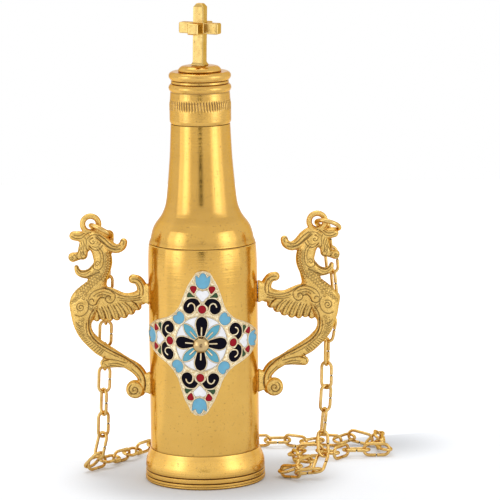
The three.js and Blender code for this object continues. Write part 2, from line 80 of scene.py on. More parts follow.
# The points where one link hooks into the next: x, y, z in millimetres and the twist in degrees.
CHAIN_HOOKS = (
    (-34.6, 3.15, 91.07, -45), (-34.9, 5.6, 83.0, -30), (-36.0, 6.2, 57.4, 0), (-37.5, 6.2, 23.2, -32),
    (-37.8, 7.2, 14.7, -34), (-39.6, 7.0, 7.2, -55), (-43.1, 10.2, 2.9, -30), (-38.2, 16.4, 3.0, 0),
    (-29.8, 28.5, 2.6, 0), (-26.3, 36.0, 2.7, 0), (-21.6, 42.8, 2.8, 0), (-6.8, 49.4, 2.5, -4),
    (23.2, 48.2, 2.8, 0), (30.8, 48.4, 2.8, 0), (37.2, 44.6, 2.7, -11), (43.2, 48.2, 2.8, 0),
    (50.2, 46.2, 2.8, 0), (54.9, 50.5, 3.4, 18), (62.7, 47.8, 1.7, -17), (66.1, 53.8, 3.6, -4),
    (66.0, 38.2, 3.0, 20), (68.0, 30.4, 2.7, 45), (52.8, 30.0, 2.8, 45), (48.8, 24.4, 2.8, 45),
    (42.6, 30.4, 2.8, 45), (35.6, 30.0, 2.8, 45), (32.8, 23.0, 2.8, 45), (34.6, 15.2, 3.0, 45),
    (38.8, 8.6, 3.4, 40), (34.2, 2.2, 3.2, 40), (28.4, -2.8, 2.4, 50), (34.4, -8.5, 3.4, 40),
    (41.2, -6.7, 3.5, -10), (43.5, -0.5, 8.0, -50), (43.4, 3.0, 15.6, -85), (44.3, 3.0, 24.2, -80),
    (44.9, 3.3, 32.8, -50), (45.3, 4.5, 50.0, -15), (46.9, 4.8, 58.5, -40), (48.4, 5.0, 67.0, -75),
    (46.9, 5.6, 84.1, -90), (46.3, 4.1, 92.6, -90),
)


def mesh_from_grid(name, grid, close_rows=False, close_columns=False):
    """A mesh over grid[copy, row, column, xyz]: every four neighbouring points make one face, and a
    closed direction joins its last points to its first."""
    copies, rows, columns = grid.shape[:3]
    corner = np.arange(copies * rows * columns).reshape(copies, rows, columns)
    if close_rows:
        corner = np.concatenate([corner, corner[:, :1]], axis=1)
    if close_columns:
        corner = np.concatenate([corner, corner[:, :, :1]], axis=2)
    around = [corner[:, :-1, :-1], corner[:, :-1, 1:], corner[:, 1:, 1:], corner[:, 1:, :-1]]
    faces = np.stack(around, axis=-1).reshape(-1, 4).astype(np.int32)
    mesh = bpy.data.meshes.new(name)
    mesh.vertices.add(copies * rows * columns)
    mesh.vertices.foreach_set("co", np.ascontiguousarray(grid, np.float32).ravel())
    mesh.loops.add(faces.size)
    mesh.loops.foreach_set("vertex_index", faces.ravel())
    mesh.polygons.add(len(faces))
    mesh.polygons.foreach_set("loop_start", np.arange(0, faces.size, 4, dtype=np.int32))
    mesh.update(calc_edges=True)
    return mesh


def keep_values(mesh, name, values):
    """Stores one number, or one colour, for every point of the mesh, for its material to read."""
    kind = "FLOAT" if values.ndim == 1 else "FLOAT_COLOR"
    attribute = mesh.attributes.new(name, kind, "POINT")
    attribute.data.foreach_set("value" if values.ndim == 1 else "color", values.astype(np.float32).ravel())


def finished(mesh, material, body, replaced=(), sharp=40.0):
    """The mesh as a piece: points that coincide are merged, faces turned outwards and shaded smooth up
    to the sharp angle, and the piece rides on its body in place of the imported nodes."""
    shape = bmesh.new()
    shape.from_mesh(mesh)
    bmesh.ops.remove_doubles(shape, verts=shape.verts, dist=1e-7)
    bmesh.ops.recalc_face_normals(shape, faces=shape.faces)
    shape.to_mesh(mesh)
    shape.free()
    mesh.shade_smooth()
    mesh.set_sharp_from_angle(angle=math.radians(sharp))
    mesh.materials.append(material)
    piece = bpy.data.objects.new(mesh.name, mesh)
    bpy.context.scene.collection.objects.link(piece)
    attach(piece, body)
    if replaced:
        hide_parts(*replaced)
    return piece


def set_inputs(tree, node, inputs):
    """Links each input that is given as a socket, and sets any other."""
    for key, value in inputs.items():
        if isinstance(value, bpy.types.NodeSocket):
            tree.links.new(value, node.inputs[key])
        else:
            node.inputs[key].default_value = value


def add_node(tree, kind, inputs=None, **settings):
    """Adds a shader node with its settings and inputs."""
    made = tree.nodes.new(kind)
    for key, value in settings.items():
        setattr(made, key, value)
    set_inputs(tree, made, inputs or {})
    return made


def calc(tree, operation, *values):
    """The result of a Math node over the values."""
    return add_node(tree, "ShaderNodeMath", dict(enumerate(values)), operation=operation).outputs[0]


def object_place(tree):
    """The place of the point on its piece."""
    return add_node(tree, "ShaderNodeTexCoord").outputs["Object"]


def noise(tree, place, scale, detail, roughness=0.5, along="Vector", **settings):
    """Noise over the place, about 0 to 1; along is the input that takes the place."""
    made = add_node(tree, "ShaderNodeTexNoise", {along: place, "Scale": scale, "Detail": detail,
                                                 "Roughness": roughness}, **settings)
    return made.outputs[0]


def ranged(tree, value, start, end, to_start=0.0, to_end=1.0, **settings):
    """The value carried from the range start to end over to another range, and held at its ends."""
    made = add_node(tree, "ShaderNodeMapRange", {"Value": value, "From Min": start, "From Max": end,
                                                 "To Min": to_start, "To Max": to_end}, **settings)
    return made.outputs[0]


def mixed(tree, share, first, second):
    """The first colour where the share is 0 and the second where it is 1."""
    made = add_node(tree, "ShaderNodeMix", {"Factor": share, 6: first, 7: second}, data_type="RGBA")
    return made.outputs[2]


def new_group(name, inputs, outputs):
    """An empty node group; inputs and outputs are (name, socket kind) or (name, socket kind, value).
    Returns its tree, its input sockets and its output node."""
    tree = bpy.data.node_groups.new(name, "ShaderNodeTree")
    for label, kind, *value in inputs:
        socket = tree.interface.new_socket(label, in_out="INPUT", socket_type=kind)
        if value:
            socket.default_value = value[0]
    for label, kind in outputs:
        tree.interface.new_socket(label, in_out="OUTPUT", socket_type=kind)
    return tree, tree.nodes.new("NodeGroupInput").outputs, tree.nodes.new("NodeGroupOutput")


# Brass: where the noise of its clouds starts to let the deep colour in and where it is all deep, the same
# for the dirt of its specks, the scale of the specks, the roughness that dirt and painted shade add, and the
# tint at a slant.
CLOUD_RANGE = (0.35, 0.7)
SPECK_RANGE = (0.62, 0.72)
SPECK_SCALE = 1100.0
DIRT_AND_SHADE_ROUGHNESS = 0.35
BRASS_TINT = (0.82, 0.56, 0.26, 1)


def brass_tone_group():
    """Brass after years of handling: the bright colour drifts towards the deep one in soft clouds, and
    it darkens where the Hollow mask says, with dirt and painted shade, and with dirt in fine pits; the darker
    the metal, the duller it is."""
    tree, given, output = new_group(
        "brass_tone",
        [("Bright", "NodeSocketColor"), ("Deep", "NodeSocketColor"), ("Dirt", "NodeSocketColor"),
         ("Hollow", "NodeSocketFloat", 0.0), ("Cloud Scale", "NodeSocketFloat", 60.0),
         ("Gloss", "NodeSocketFloat", 0.2), ("Specks", "NodeSocketFloat", 0.3)],
        [("Colour", "NodeSocketColor"), ("Roughness", "NodeSocketFloat")])
    place = object_place(tree)
    cloud = noise(tree, place, given["Cloud Scale"], detail=5.0, roughness=0.6)
    metal = mixed(tree, ranged(tree, cloud, *CLOUD_RANGE), given["Bright"], given["Deep"])
    speck = ranged(tree, noise(tree, place, SPECK_SCALE, detail=2.0), *SPECK_RANGE, to_end=given["Specks"])
    soil_and_shade = calc(tree, "MAXIMUM", given["Hollow"], speck)
    set_inputs(tree, output, {"Colour": mixed(tree, soil_and_shade, metal, given["Dirt"]),
                              "Roughness": calc(tree, "MULTIPLY_ADD", soil_and_shade, DIRT_AND_SHADE_ROUGHNESS, given["Gloss"])})
    return tree


BRASS_TONE = brass_tone_group()


def new_material(name, roughness=0.5):
    """A material; returns it with its tree and its shader."""
    material = bpy.data.materials.new(name)
    material.use_nodes = True
    shader = material.node_tree.nodes["Principled BSDF"]
    shader.inputs["Roughness"].default_value = roughness
    return material, material.node_tree, shader


def roughen(tree, shader, height, strength, depth=0.0001):
    """Gives the surface a bump of the height, at most depth metres deep."""
    bump = add_node(tree, "ShaderNodeBump", {"Height": height, "Strength": strength, "Distance": depth})
    set_inputs(tree, shader, {"Normal": bump.outputs["Normal"]})


def brass(name, bright, deep, dirt_and_shade, gloss, cloud_scale, specks, grain=None):
    """A brass material, returned with its tree and its shader. A cast or drawn surface has a grain: its
    scale, detail, roughness, strength and depth."""
    material, tree, shader = new_material(name)
    hollow = add_node(tree, "ShaderNodeAttribute", attribute_name="hollow").outputs["Fac"]
    tone = add_node(tree, "ShaderNodeGroup",
                    {"Bright": (*bright, 1), "Deep": (*deep, 1), "Dirt": (*dirt_and_shade, 1), "Hollow": hollow,
                     "Cloud Scale": cloud_scale, "Gloss": gloss, "Specks": specks}, node_tree=BRASS_TONE)
    set_inputs(tree, shader, {"Base Color": tone.outputs["Colour"], "Roughness": tone.outputs["Roughness"],
                              "Metallic": 1.0, "Specular Tint": BRASS_TINT})
    if grain:
        scale, detail, roughness, strength, depth = grain
        roughen(tree, shader, noise(tree, object_place(tree), scale, detail, roughness), strength, depth)
    return material, tree, shader


def smooth_path(points, steps, closed=False):
    """A Catmull-Rom curve through the points with the given number of steps between neighbours: each
    stretch leaves and meets its points along the line between the points on either side."""
    p = np.asarray(points, float)
    before = np.roll(p, 1, axis=0)
    after = np.roll(p, -1, axis=0)
    if not closed:
        before[0] = p[0]
        after[-1] = p[-1]
    slope = (after - before) / 2
    start = p if closed else p[:-1]
    end = np.roll(p, -1, axis=0) if closed else p[1:]
    slope_a = slope if closed else slope[:-1]
    slope_b = np.roll(slope, -1, axis=0) if closed else slope[1:]
    t = (np.arange(steps) / steps)[None, :, None]
    blend = 3 * t**2 - 2 * t**3
    curve = start[:, None] * (1 - blend) + end[:, None] * blend
    curve += slope_a[:, None] * (t**3 - 2 * t**2 + t) + slope_b[:, None] * (t**3 - t**2)
    curve = curve.reshape(-1, p.shape[1])
    return curve if closed else np.vstack([curve, p[-1]])


def even_hooks():
    """The hook points in metres with their twists: where two chosen points are farther apart than a
    link, the way between them is divided evenly."""
    places = [np.array(CHAIN_HOOKS[0], float)]
    for hook in CHAIN_HOOKS[1:]:
        last = places[-1]
        step = np.array(hook, float) - last
        count = max(1, round(np.linalg.norm(step[:3]) * MM / LINK_PITCH))
        places += [last + step * k / count for k in range(1, count + 1)]
    hooks = np.array(places)
    return hooks[:, :3] * MM, np.radians(hooks[:, 3])


def link_frames(hooks, twists):
    """For each link its middle and three unit directions: along, across and face. The face direction is
    carried on from link to link with the least turn, then each link is twisted, every second by 90 more."""
    middles = (hooks[1:] + hooks[:-1]) / 2
    along = hooks[1:] - hooks[:-1]
    along /= np.linalg.norm(along, axis=1)[:, None]
    carried = Vector((0, -1, 0))
    faces = []
    for i, direction in enumerate(along):
        heading = Vector(direction)
        if i:
            carried.rotate(Vector(along[i - 1]).rotation_difference(heading))
        carried = (carried - carried.dot(heading) * heading).normalized()
        turn = (twists[i] + twists[i + 1]) / 2 + math.pi / 2 * (i % 2)
        faces.append(Matrix.Rotation(turn, 3, heading) @ carried)
    face = np.array(faces)
    return middles, along, np.cross(face, along), face


def chain_links(middles, along, across, face):
    """All links as one grid [link, step round the oval, step round the wire]: a round wire carried along
    two half circles and two straights, nipped in where its ends are butted on one straight."""
    bend = (LINK_WIDTH - LINK_WIRE) / 2
    straight = LINK_LENGTH / 2 - LINK_WIRE / 2 - bend
    turn = np.linspace(-np.pi / 2, np.pi / 2, LINK_BEND_STEPS)
    runs = np.array(LINK_STRAIGHT)
    arc_out = np.stack([np.cos(turn), np.sin(turn)], axis=1)
    side_out = np.tile([0.0, 1.0], (len(runs), 1))
    far_arc = np.array([straight, 0]) + bend * arc_out
    seam_side = np.stack([-runs * straight, np.full(len(runs), bend)], axis=1)
    outs = np.vstack([arc_out, side_out, -arc_out, -side_out])
    centres = np.vstack([far_arc, seam_side, -far_arc, -seam_side])
    seam = np.zeros(len(centres))
    seam[LINK_BEND_STEPS:LINK_BEND_STEPS + len(runs)] = np.abs(runs) < LINK_SEAM
    radius = LINK_WIRE / 2 * (1 - LINK_SEAM_DEPTH * seam)
    v = np.linspace(0, 2 * np.pi, LINK_SIDES, endpoint=False)
    reach = centres[:, None, :] + outs[:, None, :] * (radius[:, None] * np.cos(v))[..., None]
    local = np.concatenate([reach, (radius[:, None] * np.sin(v))[..., None]], axis=-1)
    grid = middles[:, None, None] + np.einsum("rsk,lkx->lrsx", local, np.stack([along, across, face], axis=1))
    low = grid[..., 2].min(axis=(1, 2))
    grid[..., 2] += np.maximum(0, LINK_REST - low)[:, None, None]
    hollow = np.broadcast_to(seam[None, :, None], grid.shape[:3])
    return grid, hollow


brass_wire = brass("brass_wire", (0.76, 0.51, 0.18), (0.60, 0.36, 0.10), (0.03, 0.02, 0.01), gloss=0.2,
                   cloud_scale=300.0, specks=0.5, grain=(900.0, 3.0, 0.5, 0.25, 0.0001))[0]

hook_points, hook_twists = even_hooks()
link_grid, link_hollow = chain_links(*link_frames(hook_points, hook_twists))
chain_mesh = mesh_from_grid("carrying_chain", link_grid, close_rows=True, close_columns=True)
keep_values(chain_mesh, "hollow", link_hollow.ravel())
chain_nodes = [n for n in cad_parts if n.startswith("link_")] + ["chain_heap"]
carrying_chain = finished(chain_mesh, brass_wire, "bottle", chain_nodes, sharp=60.0)

# Floor and light: a sheet of white paper, which keeps the shadow of bottle and chain; for the camera and in
# reflections it glows as well, less round the foot and the heap of chain, which leaves a painted shadow
# there, and more beyond a slanted line behind the bottle, a painted edge to that shadow. A soft box and a
# daylight strip stand on each side, a faint box at the back left and one overhead, and a dark cloth behind
# the camera.
PLAIN_WHITE = (1, 1, 1, 1)
FLOOR_HALF = 0.75
PAPER = (0.67, 0.685, 0.71, 1)
# The paper's own glow, which ends in plain white and is held back where a painted shadow stays: each rise is
# where it starts, where it ends and how much it adds. One goes out from the foot and from the heap of chain
# and leaves a painted shadow round them, the second far towards the camera, and the third is a painted edge
# of that shadow behind the bottle, which lies askew by its slope.
FLOOR_NEAR = (0.029, 0.058, 0.28)
FLOOR_FRONT = (-0.13, -0.5, 0.24)
FLOOR_SHADOW_EDGE = (0.0440, 0.0485, 0.28)
SHADOW_EDGE_SLOPE = -0.31
HEAP_SHADOW_PLACE = (0.068, 0.052, 0.0)
HEAP_SHADOW_SHORT = 0.026
ROOM_LIGHT = 0.86
# Each soft box: azimuth from the camera towards the right in degrees, distance, height, width, tall, power
# and colour. The two strips are daylight tubes.
DAYLIGHT = (0.62, 0.78, 1.0)
SOFT_BOXES = (
    (-61, 1.0, 0.30, 0.84, 0.80, 1.5, PLAIN_WHITE[:3]),
    (61, 1.0, 0.30, 0.84, 0.80, 1.4, PLAIN_WHITE[:3]),
    (-54, 0.42, 0.18, 0.12, 0.30, 0.125, DAYLIGHT),
    (56, 0.42, 0.18, 0.15, 0.30, 0.155, DAYLIGHT),
    (-118, 1.0, 0.6, 1.0, 1.0, 0.4, PLAIN_WHITE[:3]),
)
TOP_BOX_PLACE = (-0.15, 0.25, 1.25)
TOP_BOX_SIZE = 0.9
TOP_BOX_POWER = 3.8
# The dark cloth: its left and right edge, its distance in front of the bottle, its lowest and highest point.
SCREEN = (-0.165, 0.125, 1.36, 0.05, 0.38)
BLACK = (0.01, 0.01, 0.01, 1)

world = bpy.data.worlds.new("studio")
bpy.context.scene.world = world
world.use_nodes = True
room = world.node_tree
sight = add_node(room, "ShaderNodeLightPath").outputs
seen = calc(room, "MAXIMUM", sight["Is Camera Ray"], sight["Is Glossy Ray"])
seen = calc(room, "MAXIMUM", seen, sight["Is Transmission Ray"])
room_glow = ranged(room, seen, start=0.0, end=1.0, to_start=ROOM_LIGHT, to_end=1.0)
set_inputs(room, room.nodes["Background"], {"Strength": room_glow, "Color": PLAIN_WHITE})


def stage_sheet(name, corners, material):
    """A flat sheet of four corners that belongs to the studio."""
    mesh = bpy.data.meshes.new(name)
    mesh.from_pydata(corners, [], [(0, 1, 2, 3)])
    mesh.materials.append(material)
    sheet = bpy.data.objects.new(name, mesh)
    bpy.context.scene.collection.objects.link(sheet)
    return sheet


white_paper, paper_tree, paper = new_material("white_paper", roughness=1.0)
paper_sight = add_node(paper_tree, "ShaderNodeLightPath").outputs
paper_seen = calc(paper_tree, "MAXIMUM", paper_sight["Is Camera Ray"], paper_sight["Is Glossy Ray"])
paper_place = object_place(paper_tree)
paper_axes = add_node(paper_tree, "ShaderNodeSeparateXYZ", {"Vector": paper_place}).outputs
paper_reaches = []
for spot, short in (((0, 0, 0), 0.0), (HEAP_SHADOW_PLACE, HEAP_SHADOW_SHORT)):
    away = add_node(paper_tree, "ShaderNodeVectorMath", {0: paper_place, 1: spot}, operation="DISTANCE")
    paper_reaches.append(calc(paper_tree, "ADD", away.outputs["Value"], short))
paper_near = calc(paper_tree, "MINIMUM", *paper_reaches)
paper_depth = calc(paper_tree, "MULTIPLY_ADD", paper_axes["X"], SHADOW_EDGE_SLOPE, paper_axes["Y"])
# Emission that whitens the paper everywhere but round the foot and the heap, which leaves a painted shadow
# there.
paper_glow = 0.0
for measure, (start, end, gain) in ((paper_near, FLOOR_NEAR), (paper_axes["Y"], FLOOR_FRONT),
                                    (paper_depth, FLOOR_SHADOW_EDGE)):
    paper_rise = ranged(paper_tree, measure, start, end, to_end=gain, interpolation_type="SMOOTHSTEP")
    paper_glow = calc(paper_tree, "ADD", paper_glow, paper_rise)
set_inputs(paper_tree, paper, {"Base Color": PAPER, "Specular IOR Level": 0.0, "Emission Color": PLAIN_WHITE,
                               "Emission Strength": calc(paper_tree, "MULTIPLY", paper_seen, paper_glow)})
stage_sheet("floor", [(-FLOOR_HALF, -FLOOR_HALF, 0), (FLOOR_HALF, -FLOOR_HALF, 0),
                      (FLOOR_HALF, FLOOR_HALF, 0), (-FLOOR_HALF, FLOOR_HALF, 0)], white_paper)

black_cloth, cloth_tree, cloth = new_material("black_cloth", roughness=1.0)
set_inputs(cloth_tree, cloth, {"Base Color": BLACK})
screen_left, screen_right, screen_ahead, screen_low, screen_high = SCREEN
dark_screen = stage_sheet("dark_screen", [
    (screen_left, -screen_ahead, screen_high), (screen_right, -screen_ahead, screen_high),
    (screen_right, -screen_ahead, screen_low), (screen_left, -screen_ahead, screen_low)], black_cloth)
dark_screen.visible_camera = False


def soft_box(name, place, aim, width, tall, power, colour=PLAIN_WHITE[:3]):
    """A rectangular lamp at place that faces aim."""
    lamp = bpy.data.lights.new(name, "AREA")
    lamp.shape = "RECTANGLE"
    lamp.size = width
    lamp.size_y = tall
    lamp.energy = power
    lamp.color = colour
    box = bpy.data.objects.new(name, lamp)
    box.matrix_world = Matrix.Translation(place) @ (aim - place).to_track_quat("-Z", "Y").to_matrix().to_4x4()
    bpy.context.scene.collection.objects.link(box)


for number, (azimuth, distance, height, *size_and_light) in enumerate(SOFT_BOXES):
    a = math.radians(azimuth)
    place = Vector((distance * math.sin(a), -distance * math.cos(a), height))
    soft_box(f"soft_box_{number + 1}", place, Vector((0, 0, height)), *size_and_light)
soft_box("soft_box_top", Vector(TOP_BOX_PLACE), Vector((0, 0, 0)), TOP_BOX_SIZE, TOP_BOX_SIZE, TOP_BOX_POWER)

# Turned pieces: foot ring, tube, shoulder with neck and base plate are turned and polished on a lathe,
# which leaves fine rings all round; they are brazed into one bottle. Profiles are radius and height.
TURNED_SIDES = 192
FOOT_PROFILE = (
    (21.4, 0.0), (22.0, 0.55), (22.0, 0.85), (21.8, 1.0), (22.0, 1.15), (22.0, 1.8), (21.45, 2.12),
    (21.9, 2.45), (21.92, 3.7), (21.4, 4.02), (21.82, 4.35), (21.88, 5.2), (21.86, 6.0), (21.8, 6.75),
    (21.67, 7.5), (21.46, 8.26), (21.2, 9.0), (20.9, 9.8), (20.58, 10.5), (20.32, 11.2), (20.16, 11.7),
    (20.07, 11.97), (19.1, 12.0), (18.9, 12.2), (18.9, 15.0), (17.7, 15.0), (17.7, 3.0), (19.2, 3.0),
    (19.2, 0.0),
)
BASE_PROFILE = ((0, 0.0), (19.1, 0.0), (19.1, 2.9), (0, 2.9))
TUBE_PROFILE = (
    (20.0, 12.04), (20.0, 60.0), (20.0, 80.0), (19.95, 81.5), (19.86, 84.0), (19.74, 86.0), (19.6, 87.5),
    (19.35, 87.9), (18.4, 88.0), (19.0, 82.0), (19.0, 12.04),
)
NECK_PROFILE = (
    (18.2, 88.04), (19.3, 88.06), (19.42, 88.3), (19.2, 88.75), (18.84, 89.65), (18.56, 91.1), (18.17, 92.6),
    (17.59, 94.1), (16.65, 95.6), (15.49, 97.0), (14.52, 98.5), (13.84, 100.0), (13.31, 101.5),
    (13.01, 102.9), (12.79, 104.4), (12.53, 106.6), (12.25, 109.55), (11.97, 112.5), (11.66, 116.2),
    (11.43, 119.1),
    (11.22, 122.8), (11.06, 126.4), (10.93, 129.4), (10.84, 131.5), (9.5, 131.5), (9.5, 124.9), (10.6, 119.5),
    (11.4, 107.0), (12.1, 102.4), (13.0, 99.4), (15.4, 95.9), (17.0, 92.2), (17.3, 90.5), (17.3, 85.0),
    (18.2, 85.0),
)
# A profile is measured out in small steps, its edges are rounded over a length, and the dirt and painted
# shade in a hollow are full at a depth below its neighbours. All are in millimetres, the turn that asks for a
# point in degrees.
LATHE_STEP = 0.05
EDGE_LENGTH = 0.1
TURN_STEP = 7.0
HOLLOW_WIDTH = 0.3
HOLLOW_DEPTH = 0.14
# The colour of the dirt and painted shade in the hollows of the turned pieces.
BRASS_DIRT_AND_SHADE = (0.12, 0.055, 0.02)


def lathe_line(profile, closed, run_step):
    """Fine radius and height points along a turned profile: it is measured out in small steps and
    averaged over the length of an edge, which rounds its corners, and points are then kept for every few
    degrees of turn and every run_step millimetres."""
    p = np.array(profile + profile[:1] if closed else profile, float)
    run = np.concatenate([[0], np.cumsum(np.linalg.norm(np.diff(p, axis=0), axis=1))])
    s = np.linspace(0, run[-1], int(run[-1] / LATHE_STEP) + 1)
    fine = np.stack([np.interp(s, run, p[:, k]) for k in (0, 1)], axis=1)
    reach = round(EDGE_LENGTH / LATHE_STEP)
    window = np.hanning(2 * reach + 3)[1:-1]
    window /= window.sum()
    if closed:
        around = np.pad(fine[:-1], ((reach, reach + 1), (0, 0)), mode="wrap")
    else:
        around = np.pad(fine, ((reach, reach), (0, 0)), mode="reflect", reflect_type="odd")
    fine = np.stack([np.convolve(around[:, k], window, mode="valid") for k in (0, 1)], axis=1)
    heading = np.unwrap(np.arctan2(*np.diff(fine, axis=0).T[::-1]))
    bend = np.concatenate([[0], np.degrees(np.abs(np.diff(heading))), [0]])
    cost = np.cumsum(bend / TURN_STEP + LATHE_STEP / run_step)
    at = np.interp(np.linspace(cost[0], cost[-1], int(cost[-1]) + 2), cost, np.arange(len(fine)))
    line = np.stack([np.interp(at, np.arange(len(fine)), fine[:, k]) for k in (0, 1)], axis=1)
    return line[:-1] if closed else line


def hollow_of(line):
    """How far each point of a profile lies behind the straight line between its neighbours on both sides,
    as a mask of dirt and painted shade."""
    run = np.concatenate([[0], np.cumsum(np.hypot(*np.diff(line, axis=0).T))])
    ahead, behind = (np.interp(run + way, run, line[:, 0]) for way in (HOLLOW_WIDTH, -HOLLOW_WIDTH))
    return np.clip(((ahead + behind) / 2 - line[:, 0]) / HOLLOW_DEPTH, 0, 1)


def turned_mesh(name, profile, closed=False, sides=TURNED_SIDES, relief=None, run_step=4.0):
    """A profile turned about Z, with dirt and painted shade in its hollows. A relief takes each point's
    angle, height, radius and dirt and shade, and gives how far it is raised, in millimetres, and its new dirt
    and shade."""
    line = lathe_line(profile, closed, run_step)
    a = np.linspace(0, 2 * np.pi, sides, endpoint=False)
    columns = np.stack([*line.T, hollow_of(line)])
    radius, height, dirt_and_shade = np.repeat(columns[:, :, None], sides, axis=2)
    if relief is not None:
        raised, dirt_and_shade = relief(a, height, radius, dirt_and_shade)
        radius = radius + raised
    grid = np.stack([radius * np.cos(a), radius * np.sin(a), height], axis=-1) * MM
    mesh = mesh_from_grid(name, grid[None], close_rows=closed, close_columns=True)
    keep_values(mesh, "hollow", dirt_and_shade.ravel())
    return mesh


# Marks of lathe and wheel: the scale of the rings, the scale and stretch of what breaks them up, then the
# lie, stretch, scale and strength of the scratches, and where their noise starts to cut and cuts in full.
MARK_SCALE = 2600.0
BREAK_SCALE = 45.0
BREAK_STRETCH = (1, 1, 30)
SCRATCH_LIE = (0.5, 0.9, 0.3)
SCRATCH_STRETCH = (1, 1, 0.04)
SCRATCH_SCALE = 1400.0
SCRATCH_STRENGTH = 0.3
SCRATCH_RANGE = (0.66, 0.74)


def turning_marks_group():
    """The rings that a lathe tool and the polishing wheel leave: waves along the height, broken up a
    little round the piece, with a few fine scratches across them."""
    tree, given, output = new_group(
        "turning_marks",
        [("Ring Scale", "NodeSocketFloat", MARK_SCALE), ("Scratch", "NodeSocketFloat", SCRATCH_STRENGTH)],
        [("Height", "NodeSocketFloat")])
    place = object_place(tree)
    height = add_node(tree, "ShaderNodeSeparateXYZ", {"Vector": place}).outputs["Z"]
    rings = noise(tree, height, given["Ring Scale"], detail=4.0, roughness=0.75, along="W",
                  noise_dimensions="1D")
    flat = add_node(tree, "ShaderNodeMapping", {"Vector": place, "Scale": BREAK_STRETCH}).outputs[0]
    slanted = add_node(tree, "ShaderNodeMapping", {"Vector": place, "Rotation": SCRATCH_LIE,
                                                   "Scale": SCRATCH_STRETCH}).outputs[0]
    faded = calc(tree, "MULTIPLY", rings, noise(tree, flat, BREAK_SCALE, detail=3.0))
    thin = ranged(tree, noise(tree, slanted, SCRATCH_SCALE, detail=2.0), *SCRATCH_RANGE)
    depth = calc(tree, "MULTIPLY", thin, given["Scratch"])
    set_inputs(tree, output, {"Height": calc(tree, "SUBTRACT", faded, depth)})
    return tree


TURNING_MARKS = turning_marks_group()


def turned_brass(name, bright, deep, gloss, strength):
    """Polished brass with lathe rings in its relief."""
    material, tree, shader = brass(name, bright, deep, BRASS_DIRT_AND_SHADE, gloss, cloud_scale=45.0, specks=0.3)
    marks = add_node(tree, "ShaderNodeGroup", node_tree=TURNING_MARKS)
    roughen(tree, shader, marks.outputs["Height"], strength)
    set_inputs(tree, shader, {"Coat Weight": 0.35, "Coat Roughness": 0.07})
    return material


polished_brass = turned_brass("polished_brass", (0.69, 0.405, 0.086), (0.62, 0.348, 0.066), gloss=0.15,
                              strength=0.4)
foot_brass = turned_brass("foot_brass", (0.85, 0.51, 0.118), (0.77, 0.445, 0.092), gloss=0.27, strength=0.5)
for node, profile, closed, material in (
        ("foot_ring", FOOT_PROFILE, True, foot_brass), ("base_plate", BASE_PROFILE, False, polished_brass),
        ("body_tube", TUBE_PROFILE, True, polished_brass),
        ("shoulder_neck", NECK_PROFILE, True, polished_brass)):
    finished(turned_mesh(node + "_turned", profile, closed), material, "bottle", [node])

# Neck spigot: a collar brazed into the mouth, with a right-hand thread of 2 mm pitch that the cap's own
# thread runs on. The wiping of the cap keeps it clean.
THREAD_PITCH = 2.0
THREAD_DEPTH = 0.3
THREAD_STEEPNESS = 0.9
THREAD_LOW = 131.8
THREAD_HIGH = 142.6
THREAD_RUN_OUT = 0.8
THREAD_STEP = 0.2
SPIGOT_SIDES = 96
SPIGOT_OUTSIDE = 9.2
SPIGOT_PROFILE = ((9.4, 125.0), (9.4, 130.0), (9.4, 143.0), (8.4, 143.0), (8.4, 125.0))


def between(height, low, high, fade):
    """1 between low and high, falling to 0 at both ends over the length of the fade."""
    return np.clip((height - low) / fade, 0, 1) * np.clip((high - height) / fade, 0, 1)


def thread(angle, height, radius, dirt_and_shade):
    """A ridge on the outer wall: it follows a flattened wave of the height less the turn times the pitch,
    and runs out at both ends."""
    wave = np.clip(0.5 + THREAD_STEEPNESS * np.cos(2 * np.pi * height / THREAD_PITCH - angle), 0, 1)
    run = between(height, THREAD_LOW, THREAD_HIGH, THREAD_RUN_OUT)
    return THREAD_DEPTH * wave * run * (radius > SPIGOT_OUTSIDE), 0 * dirt_and_shade


spigot_mesh = turned_mesh("neck_spigot_threaded", SPIGOT_PROFILE, True, SPIGOT_SIDES, thread, THREAD_STEP)
finished(spigot_mesh, polished_brass, "bottle", ["neck_spigot"], sharp=60.0)

# Screw cap: a turned shell with a knurled grip band, a bead, a groove and a top bead; a low stepped dome
# is pressed into its top, and a loose sealing disc lies inside.
KNURL_STROKES = 66
KNURL_DEPTH = 0.2
KNURL_STEEPNESS = 0.8
KNURL_LOW = 136.9
KNURL_HIGH = 140.5
KNURL_SLANT = 2.4
KNURL_FADE = 0.3
# Share of dirt and painted shade in the deepest part of a knurl stroke.
KNURL_DIRT_AND_SHADE = 0.85
CAP_SIDES = 396
CAP_STEP = 0.45
CAP_OUTSIDE = 10.5
CAP_PROFILE = (
    (0, 150.5), (10.2, 150.5), (10.85, 150.15), (11.25, 149.6), (11.36, 149.05), (11.25, 148.4),
    (10.75, 147.6), (10.3, 147.35), (10.52, 147.1), (10.56, 146.5), (10.34, 146.2), (10.85, 146.0),
    (11.3, 145.3), (11.43, 144.7), (11.25, 144.0), (10.78, 143.3), (10.86, 142.5), (11.04, 139.6),
    (11.15, 139.3), (11.2, 138.8), (11.2, 136.2), (11.2, 133.0), (11.1, 132.3), (10.8, 131.7), (9.9, 131.7),
    (9.9, 145.1), (0, 145.1),
)
LINER_PROFILE = ((0, 143.1), (9.6, 143.1), (9.6, 145.0), (0, 145.0))
LINER_PALE = (0.80, 0.76, 0.66, 1)
LINER_DARK = (0.66, 0.61, 0.50, 1)
DOME_PROFILE = ((0, 150.6), (7.8, 150.6), (7.92, 150.95), (7.7, 151.4), (7.25, 151.95), (6.6, 152.4),
                (5.7, 152.62), (4.6, 152.66), (0, 152.66))


